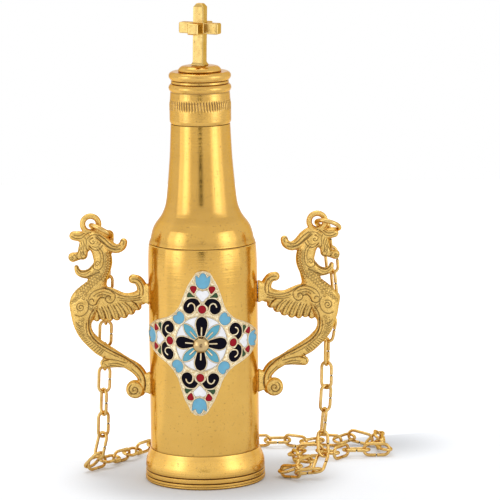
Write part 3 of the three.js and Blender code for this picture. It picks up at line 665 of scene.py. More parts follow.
def knurl(angle, height, radius, dirt_and_shade):
    """Slanted strokes pressed into the grip band: each is a narrow valley of the wave that runs round,
    and is darkened with dirt and painted shade by the square of its depth."""
    wave = np.cos(KNURL_STROKES * angle + (height - KNURL_LOW) / KNURL_SLANT)
    band = between(height, KNURL_LOW, KNURL_HIGH, KNURL_FADE)
    share = band * np.clip(0.5 + KNURL_STEEPNESS * wave, 0, 1) * (radius > CAP_OUTSIDE)
    return -KNURL_DEPTH * share, np.maximum(dirt_and_shade, KNURL_DIRT_AND_SHADE * share**2)


cap_brass = turned_brass("cap_brass", (0.69, 0.41, 0.095), (0.61, 0.345, 0.07), gloss=0.15, strength=0.9)
cap_mesh = turned_mesh("cap_shell_turned", CAP_PROFILE, False, CAP_SIDES, knurl, CAP_STEP)
finished(cap_mesh, cap_brass, "cap", ["cap_shell"])
dome_mesh = turned_mesh("cap_dome_turned", DOME_PROFILE)
finished(dome_mesh, cap_brass, "cap", ["cap_dome"])
liner_board, liner_tree, liner_shader = new_material("liner_board", roughness=0.8)
liner_grain = noise(liner_tree, object_place(liner_tree), scale=900.0, detail=4.0)
liner_colour = mixed(liner_tree, liner_grain, LINER_PALE, LINER_DARK)
set_inputs(liner_tree, liner_shader, {"Base Color": liner_colour})
roughen(liner_tree, liner_shader, liner_grain, strength=0.3)
finished(turned_mesh("cap_liner_disc", LINER_PROFILE), liner_board, "cap_seal", ["cap_liner"])

# Cross: square brass bars cast in one, arms to both sides and to front and back, on a small square foot
# that is pinned to the dome. The casting is left rough, with bright pits, and is turned a little.
CROSS_TURN = math.radians(21)
CROSS_LEAN = math.radians(1.4)
CROSS_BAR_HEIGHT = 166.2
# Stations of each bar: half width and distance along it, in millimetres.
CROSS_UPRIGHT = ((2.6, 152.72), (2.5, 153.1), (2.1, 153.7), (2.0, 154.3), (2.0, 173.9), (1.1, 175.15))
CROSS_ARM = ((1.6, -7.6), (2.0, -7.15), (2.0, 7.15), (1.6, 7.6))
CROSS_SQUARE = 30
# A section starts a little past the axis, so that no point of it has a zero in it.
SECTION_START = 0.01
BAR_SIDES = 96
CAST_VOXEL = 0.00013
# The cross's dents, as wave length and height, and its pits: wave length, gain, the height over which they
# show and the most dirt in them.
CROSS_DENTS = (3.0, 0.02)
CROSS_PITS = (0.8, 1.6, 1.3, 0.5)
# An uneven field: how many waves, how far their lengths spread, and what brings their mean to about 1.
UNEVEN_WAVES = 20
UNEVEN_SPREAD = (0.6, 1.6)
UNEVEN_GAIN = 2.5


def square_ring(power, sides):
    """A square with rounded corners: the curve |a|^power + |b|^power = 1 as points."""
    t = np.linspace(0, 2 * np.pi, sides, endpoint=False) + SECTION_START
    ring = np.stack([np.cos(t), np.sin(t)], axis=1)
    return ring / (np.abs(ring) ** power).sum(axis=1, keepdims=True) ** (1 / power)


def square_bar(stations, axis):
    """A bar along one axis: its square section is scaled to the half width of each station, and both
    ends are closed to a point."""
    rows = np.array(stations, float)
    rows = np.vstack([[0, rows[0, 1]], rows, [0, rows[-1, 1]]])
    flat = rows[:, None, :1] * square_ring(CROSS_SQUARE, BAR_SIDES)[None]
    along = np.repeat(rows[:, 1:, None], BAR_SIDES, axis=1)
    order = {"z": (0, 1, 2), "x": (2, 0, 1), "y": (0, 2, 1)}[axis]
    return np.concatenate([flat, along], axis=-1)[..., order]


def grown_together(name, grids, voxel, relax):
    """Closed skins of rows and columns, in millimetres, cast into one: they are joined, remeshed so
    that they grow into each other, and relaxed. Returns the points, their normals and the mesh."""
    shape = bmesh.new()
    for grid in grids:
        part = mesh_from_grid("part", grid[None] * MM, close_columns=True)
        shape.from_mesh(part)
        bpy.data.meshes.remove(part)
    bmesh.ops.remove_doubles(shape, verts=shape.verts, dist=1e-8)
    bmesh.ops.recalc_face_normals(shape, faces=shape.faces)
    rough = bpy.data.meshes.new(name)
    shape.to_mesh(rough)
    shape.free()
    holder = bpy.data.objects.new(name, rough)
    bpy.context.scene.collection.objects.link(holder)
    remesh = holder.modifiers.new("grow", "REMESH")
    remesh.mode = "VOXEL"
    remesh.voxel_size = voxel
    smooth = holder.modifiers.new("relax", "SMOOTH")
    smooth.factor = 0.5
    smooth.iterations = relax
    bpy.context.view_layer.update()
    cast = bpy.data.meshes.new_from_object(holder.evaluated_get(bpy.context.evaluated_depsgraph_get()))
    bpy.data.objects.remove(holder)
    bpy.data.meshes.remove(rough)
    cast.name = name
    points, normals = (np.empty((len(cast.vertices), 3), np.float32) for _ in range(2))
    cast.vertices.foreach_get("co", points.ravel())
    cast.vertex_normals.foreach_get("vector", normals.ravel())
    return points.astype(float) / MM, normals.astype(float), cast


def put_points(mesh, points):
    """Sets the mesh's points, given in millimetres."""
    mesh.vertices.foreach_set("co", (points * MM).astype(np.float32).ravel())
    mesh.update()


def uneven(points, size, seed):
    """A gently uneven field over the points, about -1 to 1: the mean of plane waves of roughly the given
    length in millimetres, in seeded directions."""
    rng = np.random.default_rng(seed)
    waves = rng.normal(size=(UNEVEN_WAVES, 3))
    pace = (2 * np.pi / size) * rng.uniform(*UNEVEN_SPREAD, (UNEVEN_WAVES, 1))
    waves *= pace / np.linalg.norm(waves, axis=1)[:, None]
    starts = rng.uniform(0, 2 * np.pi, UNEVEN_WAVES)
    return UNEVEN_GAIN * np.sin(points @ waves.T + starts).mean(axis=1)


cross_parts = [square_bar(CROSS_UPRIGHT, "z")]
for axis in ("x", "y"):
    arm = square_bar(CROSS_ARM, axis)
    arm[..., 2] += CROSS_BAR_HEIGHT
    cross_parts.append(arm)
cross_points, cross_normals, cross_mesh = grown_together("cross_cast", cross_parts, CAST_VOXEL, 1)
dent_length, dent_height = CROSS_DENTS
cross_points += cross_normals * (dent_height * uneven(cross_points, dent_length, seed=3))[:, None]
spin = np.array(Matrix.Rotation(CROSS_LEAN, 3, "Y") @ Matrix.Rotation(-CROSS_TURN, 3, "Z"))
cross_foot = np.array([0, 0, CROSS_UPRIGHT[0][1]])
put_points(cross_mesh, (cross_points - cross_foot) @ spin.T + cross_foot)
pit_length, pit_gain, pit_height, pit_dirt = CROSS_PITS
cross_pits = pit_gain * uneven(cross_points, pit_length, seed=4) - pit_height
keep_values(cross_mesh, "hollow", np.clip(cross_pits, 0, pit_dirt))
cross_brass = brass("cross_brass", (0.65, 0.45, 0.16), (0.57, 0.37, 0.11), (0.10, 0.055, 0.025), gloss=0.22,
                    cloud_scale=300.0, specks=0.35, grain=(1300.0, 4.0, 0.7, 0.05, 0.0002))[0]
finished(cross_mesh, cross_brass, "cap", ["cross"], sharp=80.0)

# Medallion: a four-lobed brass plate bent round the tube. Thin flat wires are soldered on it as cells,
# which are filled with glass enamel and ground flush; the rim and the ground stay bare metal.
PLATE_HEIGHT = 54.1
PLATE_REACH = 26.5
PLATE_ACROSS = 24.2
PLATE_ARCH = 1.05
PLATE_TURN = math.radians(1.7)
PLATE_LEAN = math.radians(2.2)
PLATE_FACE = 21.12
TUBE_R = 20.0
# Half a lobe's outline and the corner between two lobes, as shares of the plate's reach.
PLATE_LOBE = ((0, 1), (0.065, 0.99), (0.112, 0.96), (0.155, 0.89), (0.205, 0.81), (0.243, 0.73),
              (0.282, 0.63), (0.328, 0.51))
PLATE_CORNER = 0.405
PLATE_ROWS = 150
PLATE_COLUMNS = 520
# The plate's edge and back: share of the outline, and the height over or under its face.
PLATE_EDGE = ((1.003, -0.15), (1.004, -0.89), (1.0, -1.09), (0.5, -1.09), (0.0, -1.09))
ENAMEL_DROP = 0.05
RIM_POINTS = 400
RIM_SHARE = 0.982
# How dark the rim wire's feet are painted as shade, against the cells' full shade.
RIM_SHADE = 0.6
WIRE_HALF = 0.15
WIRE_PROUD = 0.16
CELL_GROWTH = 0.26
# The wire's section, beside it in half widths and up in heights, and the painted shade on it: solder runs
# out flat at both feet, and the feet are painted dark as shade where wire meets enamel.
WIRE_SECTION = ((-1.55, 0.12), (-1.05, 0.25), (-0.85, 0.75), (0, 1), (0.85, 0.75), (1.05, 0.25), (1.55, 0.12))
WIRE_FOOT_SHADE = (1.0, 1.0, 0.1, 0.0, 0.1, 1.0, 1.0)
CELL_POINTS = 84
NIGHT_BLUE = (0.002, 0.001, 0.006)
SKY_BLUE = (0.18, 0.46, 0.63)
TURQUOISE = (0.14, 0.44, 0.57)
RED = (0.36, 0.010, 0.020)
GREEN = (0.05, 0.10, 0.045)
WHITE = (0.96, 0.95, 0.96)
# The darkest and lightest share of the enamel's clouds and its roughness; then where the ground's grain
# turns from its bright colour to its deep one, both colours and its roughness.
ENAMEL_SHADES = (0.82, 1.12)
ENAMEL_ROUGHNESS = 0.1
GROUND_RANGE = (0.42, 0.62)
GROUND_BRIGHT = (0.92, 0.80, 0.56, 1)
GROUND_DEEP = (0.62, 0.43, 0.18, 1)
GROUND_ROUGHNESS = 0.34
# Cells in millimetres on the unrolled plate, as half outlines from the root to the tip, x beside the axis
# and y out from the centre. A mirrored half closes each of them.
CLUB_PETAL = ((1.15, 2.9), (1.15, 2.9), (1.5, 4.2), (1.85, 5.5), (2.1, 6.9), (1.95, 8.1), (1.35, 9.2),
              (0, 9.85))
LEAF_PETAL = ((0.8, 2.9), (0.8, 2.9), (1.15, 4.0), (1.4, 5.3), (1.45, 6.7), (1.1, 8.0), (0.4, 9.2), (0, 9.5),
              (0, 9.5))
CORNER_HEART = ((0, 10.4), (1.2, 10.7), (2.1, 11.7), (2.3, 13.0), (1.85, 14.1), (0.95, 14.35), (0, 13.95),
                (0, 13.95))
WHITE_HEART = ((0, 15.15), (0, 15.15), (1.15, 16.5), (2.15, 17.45), (2.45, 18.2), (2.1, 19.05), (1.45, 19.4),
               (0.7, 19.4), (0, 19.05), (0, 19.05))
TULIP = ((0, 20.1), (1.15, 20.35), (2.1, 21.1), (2.55, 22.2), (2.7, 23.3), (2.75, 24.85), (2.75, 24.85),
         (1.5, 24.2), (1.5, 24.2), (1.05, 25.0), (0.65, 25.55), (0, 25.8), (0, 25.8))
# Whole outlines on the right of a lobe's axis.
SCROLL_CELL = ((0.8, 14.6), (0.8, 14.6), (1.9, 16.05), (3.3, 16.42), (4.9, 16.15), (6.2, 15.2), (6.98, 13.8),
               (7.05, 12.5), (6.4, 11.45), (5.2, 10.88), (4.0, 11.05), (3.15, 11.9), (2.75, 12.7),
               (2.4, 12.45), (2.15, 13.4), (1.5, 14.1))
GREEN_CELL = ((2.65, 16.98), (2.65, 16.98), (3.9, 17.75), (5.0, 18.8), (5.0, 18.8), (5.65, 17.8),
              (5.85, 16.75), (5.85, 16.75), (4.3, 16.98))
RED_DROP = ((3.2, 18.15), (3.2, 18.15), (4.15, 19.1), (4.72, 20.05), (4.4, 20.8), (3.5, 21.0), (2.6, 20.85),
            (2.25, 20.15), (2.65, 19.2))
SCROLL_WIRE = ((2.7, 12.2), (2.75, 13.4), (3.2, 14.3), (4.1, 14.72), (5.0, 14.25), (5.45, 13.3))
STAMEN_WIRE = ((0, 2.9), (0, 4.4), (0, 5.95))
OPEN_WIRE_HALF = 0.07
DOT_AT = 12.55
DOT_R = 1.45
DISC_R = 9.85


def on_plate(u, w, radius):
    """A point of the unrolled plate, u across and w up from its middle, bent round the tube. The side
    lobes are narrower than they are drawn and arch up, by the square of u, and the whole plate leans."""
    across = u * PLATE_ACROSS / PLATE_REACH
    up = w + PLATE_ARCH * (u / PLATE_REACH) ** 2
    a = (across * math.cos(PLATE_LEAN) + up * math.sin(PLATE_LEAN)) / TUBE_R - PLATE_TURN
    height = PLATE_HEIGHT + up * math.cos(PLATE_LEAN) - across * math.sin(PLATE_LEAN)
    return np.stack([radius * np.sin(a), -radius * np.cos(a), height], axis=-1)


def even_curve(curve, count):
    """The closed curve with its points moved to equal steps along it."""
    ring = np.vstack([curve, curve[:1]])
    run = np.concatenate([[0], np.cumsum(np.linalg.norm(np.diff(ring, axis=0), axis=1))])
    s = np.linspace(0, run[-1], count, endpoint=False)
    return np.stack([np.interp(s, run, ring[:, k]) for k in (0, 1)], axis=1)


def plate_outline(count):
    """The star: one lobe's half outline, mirrored at the diagonal and turned four times."""
    half = [*PLATE_LOBE, (PLATE_CORNER, PLATE_CORNER)]
    quarter = np.array(half + [(b, a) for a, b in PLATE_LOBE[:0:-1]]) * PLATE_REACH
    turns = [np.array([[np.cos(q), np.sin(q)], [-np.sin(q), np.cos(q)]]) for q in np.arange(4) * np.pi / 2]
    return even_curve(smooth_path(np.vstack([quarter @ t.T for t in turns]), steps=12, closed=True), count)


def beside(steps):
    """Unit vectors square to the steps, to their right."""
    ahead = steps / np.maximum(np.linalg.norm(steps, axis=-1, keepdims=True), 1e-9)
    return np.stack([ahead[..., 1], -ahead[..., 0]], axis=-1)


def grown(curve):
    """The closed curve moved outward by the wire's half width, so that the wire leaves the cell whole."""
    x, y = curve.T
    way = np.sign(np.sum(x * np.roll(y, -1) - np.roll(x, -1) * y))
    return curve + way * CELL_GROWTH * beside(np.roll(curve, -1, axis=0) - np.roll(curve, 1, axis=0))


def closed_cell(points):
    """A cell's outline as a smooth closed curve of even steps."""
    return grown(even_curve(smooth_path(points, steps=10, closed=True), CELL_POINTS))


def whole(half):
    """A cell's half outline and its mirror image, as one closed curve."""
    right = np.array(half)
    return closed_cell(np.vstack([right, right[::-1] * (-1, 1)]))


def round_cell(radius, height):
    """A circle about a point on the lobe's axis."""
    t = np.linspace(0, 2 * np.pi, CELL_POINTS, endpoint=False)
    return grown(np.stack([radius * np.sin(t), height + radius * np.cos(t)], axis=1))


def turned_about(curve, degrees):
    """The curve turned clockwise about the plate's middle."""
    q = math.radians(degrees)
    return curve @ np.array([[math.cos(q), -math.sin(q)], [math.sin(q), math.cos(q)]])


def cells():
    """Every cell of the medallion as (colour, closed curve), the disc first because the petals lie on it."""
    found = [(WHITE, round_cell(DISC_R, 0))]
    right_side = ((NIGHT_BLUE, SCROLL_CELL), (GREEN, GREEN_CELL), (RED, RED_DROP))
    for quarter in range(4):
        turn = 90 * quarter
        found.append((NIGHT_BLUE, turned_about(whole(CLUB_PETAL), turn)))
        found.append((TURQUOISE, turned_about(whole(LEAF_PETAL), turn + 45)))
        found.append((SKY_BLUE, turned_about(whole(CORNER_HEART), turn + 45)))
        found.append((RED, turned_about(round_cell(DOT_R, DOT_AT), turn)))
        found.append((WHITE, turned_about(whole(WHITE_HEART), turn)))
        found.append((SKY_BLUE, turned_about(whole(TULIP), turn)))
        for colour, points in right_side:
            right = closed_cell(points)
            found.append((colour, turned_about(right, turn)))
            found.append((colour, turned_about(right * (-1, 1), turn)))
    return found


def inside(curve, points):
    """Which points lie inside the closed curve: those from which a line to the right crosses it an odd
    number of times."""
    low, high = curve.min(axis=0), curve.max(axis=0)
    near = np.all((points > low) & (points < high), axis=1)
    x, y = points[near].T
    crossed = np.zeros(len(x), bool)
    for (ax, ay), (bx, by) in zip(curve, np.roll(curve, -1, axis=0)):
        spans = (ay > y) != (by > y)
        crossed ^= spans & (x < ax + (bx - ax) * (y - ay) / (by - ay if by != ay else 1))
    result = np.zeros(len(points), bool)
    result[near] = crossed
    return result


def plate_mesh(found):
    """The plate as rings of the star outline from its middle to its edge, over the rounded edge and
    back behind; each point of the face takes the colour of the cell that it lies in."""
    outline = plate_outline(PLATE_COLUMNS)
    edge_share, edge_drop = np.array(PLATE_EDGE).T
    share = np.concatenate([np.linspace(0, 1, PLATE_ROWS), edge_share])
    radius = PLATE_FACE + np.concatenate([np.zeros(PLATE_ROWS), edge_drop])
    u, w = (share[:, None] * outline[None, :, k] for k in (0, 1))
    face = np.stack([u[:PLATE_ROWS].ravel(), w[:PLATE_ROWS].ravel()], axis=1)
    colour = np.zeros((u.size, 4))
    for tint, curve in found:
        colour[np.flatnonzero(inside(curve, face))] = (*tint, 1)
    glass = colour[:, 3]
    radius = radius[:, None] - ENAMEL_DROP * glass.reshape(u.shape)
    mesh = mesh_from_grid("medallion_plate", on_plate(u, w, radius)[None] * MM, close_columns=True)
    keep_values(mesh, "enamel", colour)
    keep_values(mesh, "glass", glass)
    return mesh


def wire_loops(name, curves, dirt_and_shade):
    """Flat wires on edge along closed curves: a narrow rounded section with flat feet, carried round each
    curve; the feet are painted dark as shade."""
    c = np.stack(curves)
    aside = beside(np.roll(c, -1, axis=1) - np.roll(c, 1, axis=1))
    section = np.array(WIRE_SECTION)
    flat = c[:, :, None, :] + aside[:, :, None, :] * (section[:, 0] * WIRE_HALF)[None, None, :, None]
    radius = np.broadcast_to(PLATE_FACE + section[:, 1] * WIRE_PROUD, flat.shape[:3])
    grid = on_plate(flat[..., 0], flat[..., 1], radius) * MM
    mesh = mesh_from_grid(name, grid, close_rows=True, close_columns=True)
    keep_values(mesh, "hollow", dirt_and_shade * np.tile(WIRE_FOOT_SHADE, c.shape[0] * c.shape[1]))
    return mesh


def there_and_back(points):
    """An open wire's path as a very narrow closed curve, so that it can be carried as the loops are."""
    path = smooth_path(points, steps=12)
    aside = beside(np.gradient(path, axis=0)) * OPEN_WIRE_HALF
    return even_curve(np.vstack([path + aside, (path - aside)[::-1]]), CELL_POINTS)


medallion_cells = cells()
medallion_curves = [curve for _, curve in medallion_cells]
for quarter in range(4):
    scroll = there_and_back(SCROLL_WIRE)
    stamen = there_and_back(STAMEN_WIRE)
    medallion_curves.append(turned_about(scroll, 90 * quarter))
    medallion_curves.append(turned_about(scroll * (-1, 1), 90 * quarter))
    medallion_curves.append(turned_about(stamen, 90 * quarter))
    medallion_curves.append(turned_about(stamen, 90 * quarter + 45))

cloisonne, enamel_tree, enamel_shader = new_material("cloisonne")
enamel_paint = add_node(enamel_tree, "ShaderNodeAttribute", attribute_name="enamel").outputs["Color"]
enamel_glass = add_node(enamel_tree, "ShaderNodeAttribute", attribute_name="glass").outputs["Fac"]
enamel_place = object_place(enamel_tree)
enamel_cloud = noise(enamel_tree, enamel_place, scale=700.0, detail=3.0)
enamel_shade = ranged(enamel_tree, enamel_cloud, 0.0, 1.0, *ENAMEL_SHADES)
enamel_tint = add_node(enamel_tree, "ShaderNodeVectorMath", {0: enamel_paint, "Scale": enamel_shade},
                       operation="SCALE").outputs[0]
ground_grain = noise(enamel_tree, enamel_place, scale=1500.0, detail=3.0, roughness=0.7)
ground_drift = ranged(enamel_tree, ground_grain, *GROUND_RANGE)
ground_tone = mixed(enamel_tree, ground_drift, GROUND_BRIGHT, GROUND_DEEP)
bare_metal = calc(enamel_tree, "SUBTRACT", 1.0, enamel_glass)
set_inputs(enamel_tree, enamel_shader, {
    "Base Color": mixed(enamel_tree, enamel_glass, ground_tone, enamel_tint), "Metallic": bare_metal,
    "Roughness": ranged(enamel_tree, enamel_glass, 0.0, 1.0, GROUND_ROUGHNESS, ENAMEL_ROUGHNESS),
    "Specular IOR Level": 0.06})
ground_relief = calc(enamel_tree, "MULTIPLY", ground_grain, bare_metal)
roughen(enamel_tree, enamel_shader, ground_relief, strength=0.6)
finished(plate_mesh(medallion_cells), cloisonne, "bottle", ["enamel_plate"], sharp=50.0)

cell_wire = brass("cell_wire", (0.86, 0.77, 0.56), (0.76, 0.58, 0.31), (0.20, 0.11, 0.04), gloss=0.3,
                  cloud_scale=700.0, specks=0.3)[0]
rim_curves = [plate_outline(RIM_POINTS) * RIM_SHARE]
# Painted shade on the wires' feet: full at the cells, weaker at the rim.
for name, curves, dirt_and_shade in (("medallion_wires", medallion_curves, 1.0),
                           ("medallion_rim", rim_curves, RIM_SHADE)):
    finished(wire_loops(name, curves, dirt_and_shade), cell_wire, "bottle", sharp=60.0)

# Centre boss: a polished brass ball head riveted through the middle of the medallion.
BOSS_SEAT = 21.1
BOSS_DROP = 0.3
BOSS_PROFILE = ((0, 0), (2.3, 0), (2.55, 0.3), (2.98, 0.9), (2.93, 1.6), (2.5, 2.35), (1.8, 2.95),
                (0.9, 3.28), (0, 3.38))
BOSS_SIDES = 64
boss_mesh = turned_mesh("centre_boss_turned", BOSS_PROFILE, sides=BOSS_SIDES)
boss_mesh.transform(Matrix.Rotation(-PLATE_TURN, 4, "Z")
                    @ Matrix.Translation((0, -BOSS_SEAT * MM, (PLATE_HEIGHT - BOSS_DROP) * MM))
                    @ Matrix.Rotation(math.pi / 2, 4, "X"))
boss_brass = turned_brass("boss_brass", (0.60, 0.42, 0.19), (0.50, 0.34, 0.14), gloss=0.13, strength=0.05)
finished(boss_mesh, boss_brass, "bottle", ["centre_boss"])

# Griffin handles: two brass castings from one pattern, the second mirrored, brazed to the tube by a pad at
# the wing and one at the tail. The relief of feathers, scales and scrolls is the same on both faces.
HANDLE_TILT = math.radians(0.55)
HANDLE_SHIFT = 0.12
LEFT_DROP = 0.45
HANDLE_VOXEL = 0.00019
HANDLE_RELAX = 4
# The height about which a handle is tilted, and the least gap between casting and tube.
TILT_HEIGHT = 35.0
TUBE_GAP = 0.02
STROKE_SIDES = 28
END_STEPS = 6
# Strokes of the body: distance out from the bottle's axis, height, half width and half depth.
TRUNK = ((39.5, 71.5, 4.2, 2.6), (43, 66.5, 5.9, 3.0), (44, 63, 5.3, 3.0), (44.6, 58.5, 3.5, 2.6),
         (43.3, 54.5, 2.75, 2.4), (40.5, 51.2, 2.6, 2.3), (37.4, 48.7, 2.7, 2.2), (33.2, 46.3, 2.4, 2.1),
         (29, 43.9, 2.1, 2.0), (24.9, 41.3, 2.2, 2.0), (22.8, 38.3, 2.0, 2.0), (22.4, 35.2, 1.8, 2.0),
         (23.4, 32.7, 1.5, 1.8))
LEAF = ((28.5, 42.6, 0.9, 1.3), (32.5, 43.5, 1.6, 1.5), (36.5, 43.5, 1.8, 1.4))
NECK = ((39.3, 73, 3.6, 2.5), (38.2, 77.2, 3.45, 2.5), (36.9, 81, 3.45, 2.5), (37.6, 85, 3.4, 2.5),
        (39.3, 88.3, 3.2, 2.4))
CREST = ((29.3, 88.6, 1.4, 1.2), (29.9, 87.0, 1.55, 1.4), (31.9, 86.1, 1.7, 1.5), (34.5, 87.2, 2.05, 1.7),
         (37, 89.7, 2.3, 1.9), (39.5, 91.2, 2.4, 2.0))
BROW = ((42, 89.5, 2.5, 1.9), (45, 90.6, 2, 1.6), (47.4, 90.9, 1.75, 1.5))
MUZZLE = ((42.5, 88.5, 3.0, 1.9), (44, 85.8, 2.0, 1.6), (44.3, 83.9, 1.9, 1.6))
TONGUE = ((45.3, 83.5, 1.4, 1.5), (47.8, 83, 1.8, 1.8))
JAW = ((38.5, 80, 2, 2.2), (41, 77.4, 1.9, 2.0), (43.7, 76.7, 1.55, 1.8), (45.9, 77.5, 1.2, 1.5),
       (46.6, 79.3, 0.85, 1.1))
WING_TIP = ((22.6, 70.5, 2.0, 1.7), (22.9, 72.5, 1.9, 1.7), (24.2, 74.4, 1.75, 1.6), (25.9, 74.9, 1.75, 1.6))
# The wing is a fan of feathers: each runs from the shoulder to its tip, with the half width of the tip.
WING_ROOT = (38.5, 68.0)
FEATHER_TIPS = ((22.6, 67.0, 1.7), (24.4, 64.6, 1.5), (26.7, 63.0, 1.5), (29.3, 61.7, 1.5), (32.0, 60.9, 1.5),
                (34.6, 60.4, 1.25), (37.0, 60.7, 1.2), (39.3, 60.2, 1.15))
# Along a feather: share of the way, of the tip's half width and of the wing's half depth.
FEATHER_STATIONS = ((0.0, 1.1, 1.0), (0.5, 1.3, 1.0), (1.0, 1.0, 0.75))
WING_BAND = ((39.5, 70.6, 2.2), (34.5, 69.6, 2.2), (29.5, 67.9, 1.9), (25.5, 68.2, 1.9), (22.6, 69.6, 2.0))
WING_HALF = 1.75
BAND_DEEP = 1.05
SCROLL = (25.5, 33.8, 3.4, 2.3)
SCROLL_EDGE = 0.9
EYELET = (41.3, 95.2, 2.93, 1.07)
PADS = ((65.6, 73.2), (32.2, 40.1))
PAD_HALF = 2.2
PAD_SQUARE = 6
# A pad's flare: distance from the bottle's axis with the share of its height and of its thickness there.
PAD_FLARE = ((19.6, 0.0, 0.0), (19.6, 1.04, 1.0), (20.25, 1.04, 1.0), (20.5, 0.99, 0.97), (21.0, 0.94, 0.9),
             (21.8, 0.88, 0.84), (22.8, 0.82, 0.8), (23.2, 0.7, 0.7), (23.2, 0.0, 0.0))
